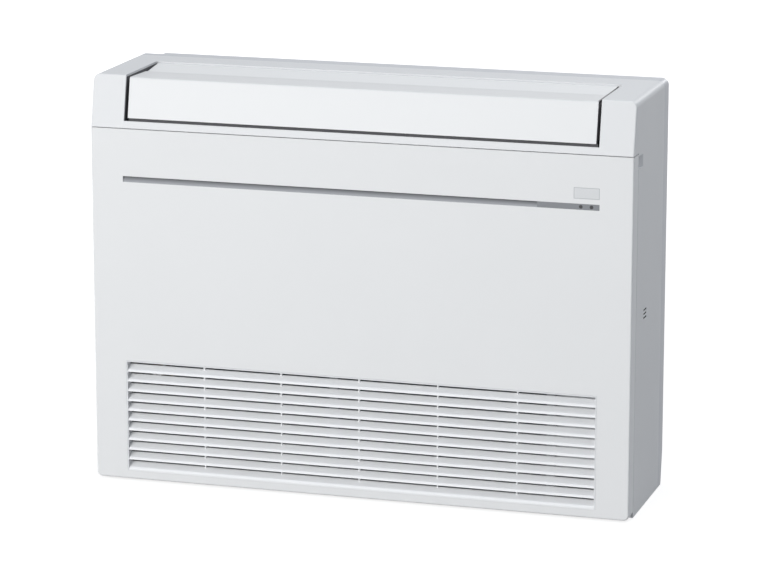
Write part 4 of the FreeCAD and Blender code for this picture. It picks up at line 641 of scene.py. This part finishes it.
# Filters: dark grey moulded frames, each with a fine net of plastic threads behind its bars that holds the
# room's dust back. The upright threads lie behind the level ones.
NET_PITCH = 0.0013
THREAD = 0.00055
FRAME_RIM = 0.0078
FRAME_TAB = 0.012
BAR_HALF = 0.001
dress(moulded("filter_grey", (0.16, 0.17, 0.19), roughness=0.55), "filter_left", "filter_right")
net = mottled(
    "net_threads",
    size=0.03,
    dark=(0.05, 0.052, 0.058),
    pale=(0.10, 0.102, 0.108),
    roughness=(0.5, 0.7),
    IOR=PLASTIC_IOR,
)
for side in ("left", "right"):
    frame_low, frame_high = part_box(f"filter_{side}")
    wide = frame_high.x - frame_low.x - 2 * FRAME_RIM
    tall = frame_high.z - frame_low.z - 2 * FRAME_RIM - FRAME_TAB
    middle = (frame_low + frame_high) / 2 + Vector((0, BAR_HALF + THREAD / 2, -FRAME_TAB / 2))
    shape = bmesh.new()
    count = int(tall / NET_PITCH)
    for k in range(count):
        level = Vector((0, 0, NET_PITCH * (k - (count - 1) / 2)))
        block(shape, middle + level, (wide, THREAD, THREAD))
    count = int(wide / NET_PITCH)
    for k in range(count):
        upright = Vector((NET_PITCH * (k - (count - 1) / 2), THREAD, 0))
        block(shape, middle + upright, (THREAD, THREAD, tall))
    solid_piece(f"filter_net_{side}", shape, net, f"filter_{side}", "filter_grey")

# Main circuit board: glass-fibre board in the electrical box, with green resist over its tracks, which show
# as darker and paler patches.
TRACKS = 160.0
TRACK_CONTRAST = 1.6
RESIST_DARK, RESIST_PALE = (0.02, 0.10, 0.045), (0.06, 0.24, 0.10)
board = Finish("board_green", Roughness=0.4)
pads = {"Vector": board.place(), "Scale": TRACKS}
tracks = board.node("ShaderNodeTexVoronoi", {"distance": "MANHATTAN"}, pads)
board.set(Base_Color=board.blend(tracks * TRACK_CONTRAST, RESIST_DARK, RESIST_PALE))
dress(board, "control_board")

# Terminal block: the black moulded block in which the incoming wires are clamped, of plastic that stands heat.
# It is screwed to the floor of the electrical box.
dress(moulded("terminal_black", (0.05, 0.05, 0.05)), "terminal_block")

# Display board: a glass-fibre board with green resist, cut out with rounded corners. It is screwed to its
# bracket behind the strip and the window, and carries the small fittings that follow.
FACE_Y = -0.0891
CORNER_ROUND = 0.002
plate_low, plate_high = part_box("display_board")
plate_low.y = FACE_Y
shape = bmesh.new()
block(shape, (plate_low + plate_high) / 2, plate_high - plate_low)
corners = [e for e in shape.edges if abs(e.verts[0].co.y - e.verts[1].co.y) > CORNER_ROUND / 2]
round_off(shape, corners, CORNER_ROUND, segments=4)
solid_piece("display_plate", shape, board, "cabinet", "board_green", "display_board")

# Receiver eye: the part that takes in the remote control's signal, cast as a dome of dark epoxy. It is
# soldered to the display board behind the window.
EYE_ROUND = 0.004
EYE_LONG = 0.006
EYE_DOME = EYE_ROUND * 0.8


def stud(shape, foot, radius, length, dome, sides=20):
    """Adds a round stud that stands forward from its foot, with its front rim rounded off."""
    level = Matrix.Translation(foot - Vector((0, length / 2, 0))) @ Matrix.Rotation(math.pi / 2, 4, "X")
    rims = bmesh.ops.create_cone(
        shape, cap_ends=True, segments=sides, radius1=radius, radius2=radius, depth=length, matrix=level
    )["verts"]
    edges = {e for v in rims for e in v.link_edges}
    front_rim = [e for e in edges if max(v.co.y for v in e.verts) < foot.y - length / 2]
    round_off(shape, front_rim, dome, segments=4)


dark_epoxy = moulded("eye_epoxy", (0.03, 0.028, 0.032), roughness=0.2, grain=0.002, depth=0.000004)
eye_at = (window_low + window_high) / 2
eye_at.y = FACE_Y
shape = bmesh.new()
stud(shape, eye_at, EYE_ROUND, EYE_LONG, EYE_DOME)
solid_piece("receiver_eye", shape, dark_epoxy, "cabinet", "lens_dark")

# Emergency button: a white moulded cap with a rounded rim, pressed to run the unit without its remote control.
# It slides in a grey moulded collar on the face of the display board.
BUTTON_RIM = 0.0008
BUTTON_SIDES = 28
COLLAR_LONG = 0.005
COLLAR_THICK = 0.002
COLLAR_GAP = 0.0003
SEAM = 0.00001
button_low, button_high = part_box("emergency_button")
button_round = (button_high.x - button_low.x) / 2
button_at = (button_low + button_high) / 2
button_at.y = button_high.y
shape = bmesh.new()
stud(shape, button_at, button_round, button_high.y - button_low.y, BUTTON_RIM, BUTTON_SIDES)
cap_white = moulded("button_white", (0.78, 0.78, 0.77), roughness=0.35)
solid_piece("button_cap", shape, cap_white, "emergency_button", "button_white", "emergency_button")
shape = bmesh.new()
collar_foot = Vector((button_at.x, FACE_Y, button_at.z))
bore = button_round + COLLAR_GAP
rim = bore + COLLAR_THICK
corners = [
    shape.verts.new(collar_foot + Vector((x, y, 0)))
    for x, y in ((bore, 0), (rim, 0), (rim, -COLLAR_LONG), (bore, -COLLAR_LONG))
]
sides = [shape.edges.new((corners[k - 1], corners[k])) for k in range(len(corners))]
bmesh.ops.spin(
    shape,
    geom=corners + sides,
    cent=collar_foot,
    axis=(0, 1, 0),
    angle=2 * math.pi,
    steps=BUTTON_SIDES,
    use_merge=True,
)
bmesh.ops.remove_doubles(shape, verts=shape.verts, dist=SEAM)
solid_piece("button_collar", shape, inner, "cabinet", "inner_grey")

# Display chip and resistors: black epoxy and ceramic bodies soldered to the face of the display board, the
# chip on tinned legs.
CHIP = (0.010, 0.0018, 0.010)
CHIP_LIFT = 0.0003
CHIP_ROUND = 0.0002
LEG = (0.0018, 0.0005, 0.0005)
LEG_PITCH = 0.00115
LEG_SUNK = 0.0002
LEG_ROUND = 0.0001
LEGS_A_SIDE = 8
RESISTOR = (0.0032, 0.0008, 0.0016)
RESISTOR_STEP = (0.0056, 0.006)
RESISTOR_COUNT = 8
RESISTORS_A_ROW = 4
chip_at = Vector((0.3595, FACE_Y, 0.453))
resistors_at = Vector((0.3495, FACE_Y - RESISTOR[1] / 2, 0.4785))
epoxy = moulded("chip_black", (0.035, 0.035, 0.037), roughness=0.55)
shape = bmesh.new()
block(shape, chip_at - Vector((0, CHIP_LIFT + CHIP[1] / 2, 0)), CHIP)
for k in range(RESISTOR_COUNT):
    row, place = divmod(k, RESISTORS_A_ROW)
    block(shape, resistors_at + Vector((place * RESISTOR_STEP[0], 0, row * RESISTOR_STEP[1])), RESISTOR)
round_off(shape, shape.edges[:], CHIP_ROUND)
solid_piece("display_chips", shape, epoxy, "cabinet", "terminal_black")
shape = bmesh.new()
leg_reach = (CHIP[0] + LEG[0]) / 2 - LEG_SUNK
for reach in (leg_reach, -leg_reach):
    for k in range(LEGS_A_SIDE):
        level = (k - (LEGS_A_SIDE - 1) / 2) * LEG_PITCH
        block(shape, chip_at + Vector((reach, -CHIP_LIFT - LEG[1] / 4, level)), LEG)
round_off(shape, shape.edges[:], LEG_ROUND, segments=1)
solid_piece("chip_legs", shape, plated, "cabinet", "steel")

# Wire socket: a shell of undyed nylon, moulded open at the front for the plug of the wires from the main board.
# It is soldered to the face of the display board.
SOCKET = (0.014, 0.005, 0.0075)
SOCKET_WALL = 0.0009
SOCKET_DEEP = 0.004
socket_at = Vector((0.309, FACE_Y - SOCKET[1] / 2, 0.4432))
nylon = moulded("socket_nylon", (0.70, 0.68, 0.62), roughness=0.4)
shape = bmesh.new()
block(shape, socket_at, SOCKET)
mouth = min(shape.faces, key=lambda face: face.calc_center_median().y)
bmesh.ops.inset_region(shape, faces=[mouth], thickness=SOCKET_WALL)
socket_floor = bmesh.ops.extrude_discrete_faces(shape, faces=[mouth])["faces"][0]
bmesh.ops.translate(shape, vec=(0, SOCKET_DEEP, 0), verts=socket_floor.verts[:])
solid_piece("display_socket", shape, nylon, "cabinet", "pan_white")

# Indicator lamps: two light-emitting diodes, cast in clear epoxy with a domed end. They are soldered to the
# display board, one behind each lens of the strip.
LAMP_ROUND = 0.0016
LAMP_LONG = 0.0036
LAMP_DOME = LAMP_ROUND * 0.9
LAMP_SIDES = 16
EPOXY_DARK, EPOXY_PALE = (0.62, 0.63, 0.60), (0.75, 0.76, 0.72)
clear = Finish("lamp_epoxy", Roughness=0.15, IOR=1.5)
haze = clear.noise(0.001, detail=2.0)
clear.set(Base_Color=clear.blend(haze, EPOXY_DARK, EPOXY_PALE))
shape = bmesh.new()
for lens_place in lens_places:
    stud(shape, Vector((lens_place, FACE_Y, lens_level)), LAMP_ROUND, LAMP_LONG, LAMP_DOME, LAMP_SIDES)
solid_piece("indicator_lamps", shape, clear, "cabinet", "lens_dark")

# Floor: a roll of pale paper that keeps the object's shadow. It shows white to the camera, and whiter still
# far from the object.
FLOOR_HALF = 30
PAPER_DARK, PAPER_PALE = (0.28, 0.28, 0.28), (0.32, 0.32, 0.32)
GLOW_NEAR, GLOW_FAR = 0.79, 1.0
NEAR, FAR = 0.6, 5.0
NO_LIGHT, WHITE = (0, 0, 0), (1, 1, 1)
scene = bpy.context.scene
scene.view_settings.view_transform = "Standard"
paper = Finish("floor_white", Roughness=0.9, Emission_Strength=1.0)
paper.set(Base_Color=paper.blend(paper.noise(0.3, detail=2.0), PAPER_DARK, PAPER_PALE))
distance = paper.node("ShaderNodeVectorMath", {"operation": "LENGTH"}, {0: paper.place()}, output="Value")
glow = paper.shown() * paper.ramp(distance, NEAR, FAR, GLOW_NEAR, GLOW_FAR)
paper.set(Emission_Color=paper.blend(glow, NO_LIGHT, WHITE))
floor_mesh = bpy.data.meshes.new("floor")
sheet = bmesh.new()
bmesh.ops.create_grid(sheet, x_segments=1, y_segments=1, size=FLOOR_HALF)
sheet.to_mesh(floor_mesh)
sheet.free()
floor_mesh.materials.append(paper.material)
floor = bpy.data.objects.new("floor", floor_mesh)
scene.collection.objects.link(floor)

# Surround: the even light of a pale room, slightly cool, from every side. Where it is seen itself, straight or
# in gloss, it is plain white.
ROOM_LIGHT = 0.29
ROOM_TINT = (0.88, 0.97, 1.12)
world = bpy.data.worlds.new("surround")
world.use_nodes = True
scene.world = world
room = Shading(world.node_tree)
room_light = tuple(c * ROOM_LIGHT for c in ROOM_TINT)
room.feed(world.node_tree.nodes["Background"].inputs["Color"], room.blend(room.shown(), room_light, WHITE))


# Lamps: a large soft key light from the left of the front, a soft top light over the right end, and two weak
# lamps behind, one for the back and one that draws a line along the right shoulder.
def bearing(turn, rise):
    """The way to a place that far round from the front and that far up, in degrees."""
    turn, rise = math.radians(turn), math.radians(rise)
    return Vector((math.sin(turn) * math.cos(rise), -math.cos(turn) * math.cos(rise), math.sin(rise)))


def soft_lamp(name, aim, way, distance, size, energy, colour=WHITE):
    """A flat rectangular lamp that faces its aim."""
    data = bpy.data.lights.new(name, "AREA")
    data.shape = "RECTANGLE"
    data.size, data.size_y = size
    data.energy = energy
    data.color = colour
    lamp = bpy.data.objects.new(name, data)
    lamp.location = Vector(aim) + way * distance
    lamp.rotation_euler = way.to_track_quat("Z", "Y").to_euler()
    scene.collection.objects.link(lamp)


KEY_WHITE = (1.0, 0.995, 0.985)
overhead = Vector((0, 0, 1))
soft_lamp("key", (0, 0, 0.3), bearing(-22, 15), distance=6.0, size=(4.2, 3.2), energy=252, colour=KEY_WHITE)
soft_lamp("top", (1.2, -0.3, 0), overhead, distance=3.3, size=(2.4, 2.4), energy=37)
soft_lamp("rear_fill", (0, 0, 0.4), bearing(224, 0), distance=5.0, size=(2.4, 0.7), energy=85)
soft_lamp("rear_rim", (0, 0, 0.5), bearing(163, 17.7), distance=4.0, size=(0.6, 0.6), energy=18)

# Camera: a long lens about five metres away, to the right of the front and a little above. Upright lines stay
# nearly parallel in it.
LENS = 165.6
SENSOR_WIDE = 36
CAMERA_AIM = Vector((0.008, 0, 0.29))
CAMERA_FAR = 5.117
camera_data = bpy.data.cameras.new("camera")
camera_data.lens = LENS
camera_data.sensor_width = SENSOR_WIDE
camera = bpy.data.objects.new("camera", camera_data)
camera_way = bearing(turn=16.9, rise=13.1)
camera.location = CAMERA_AIM + camera_way * CAMERA_FAR
camera.rotation_euler = camera_way.to_track_quat("Z", "Y").to_euler()
scene.collection.objects.link(camera)
scene.camera = camera
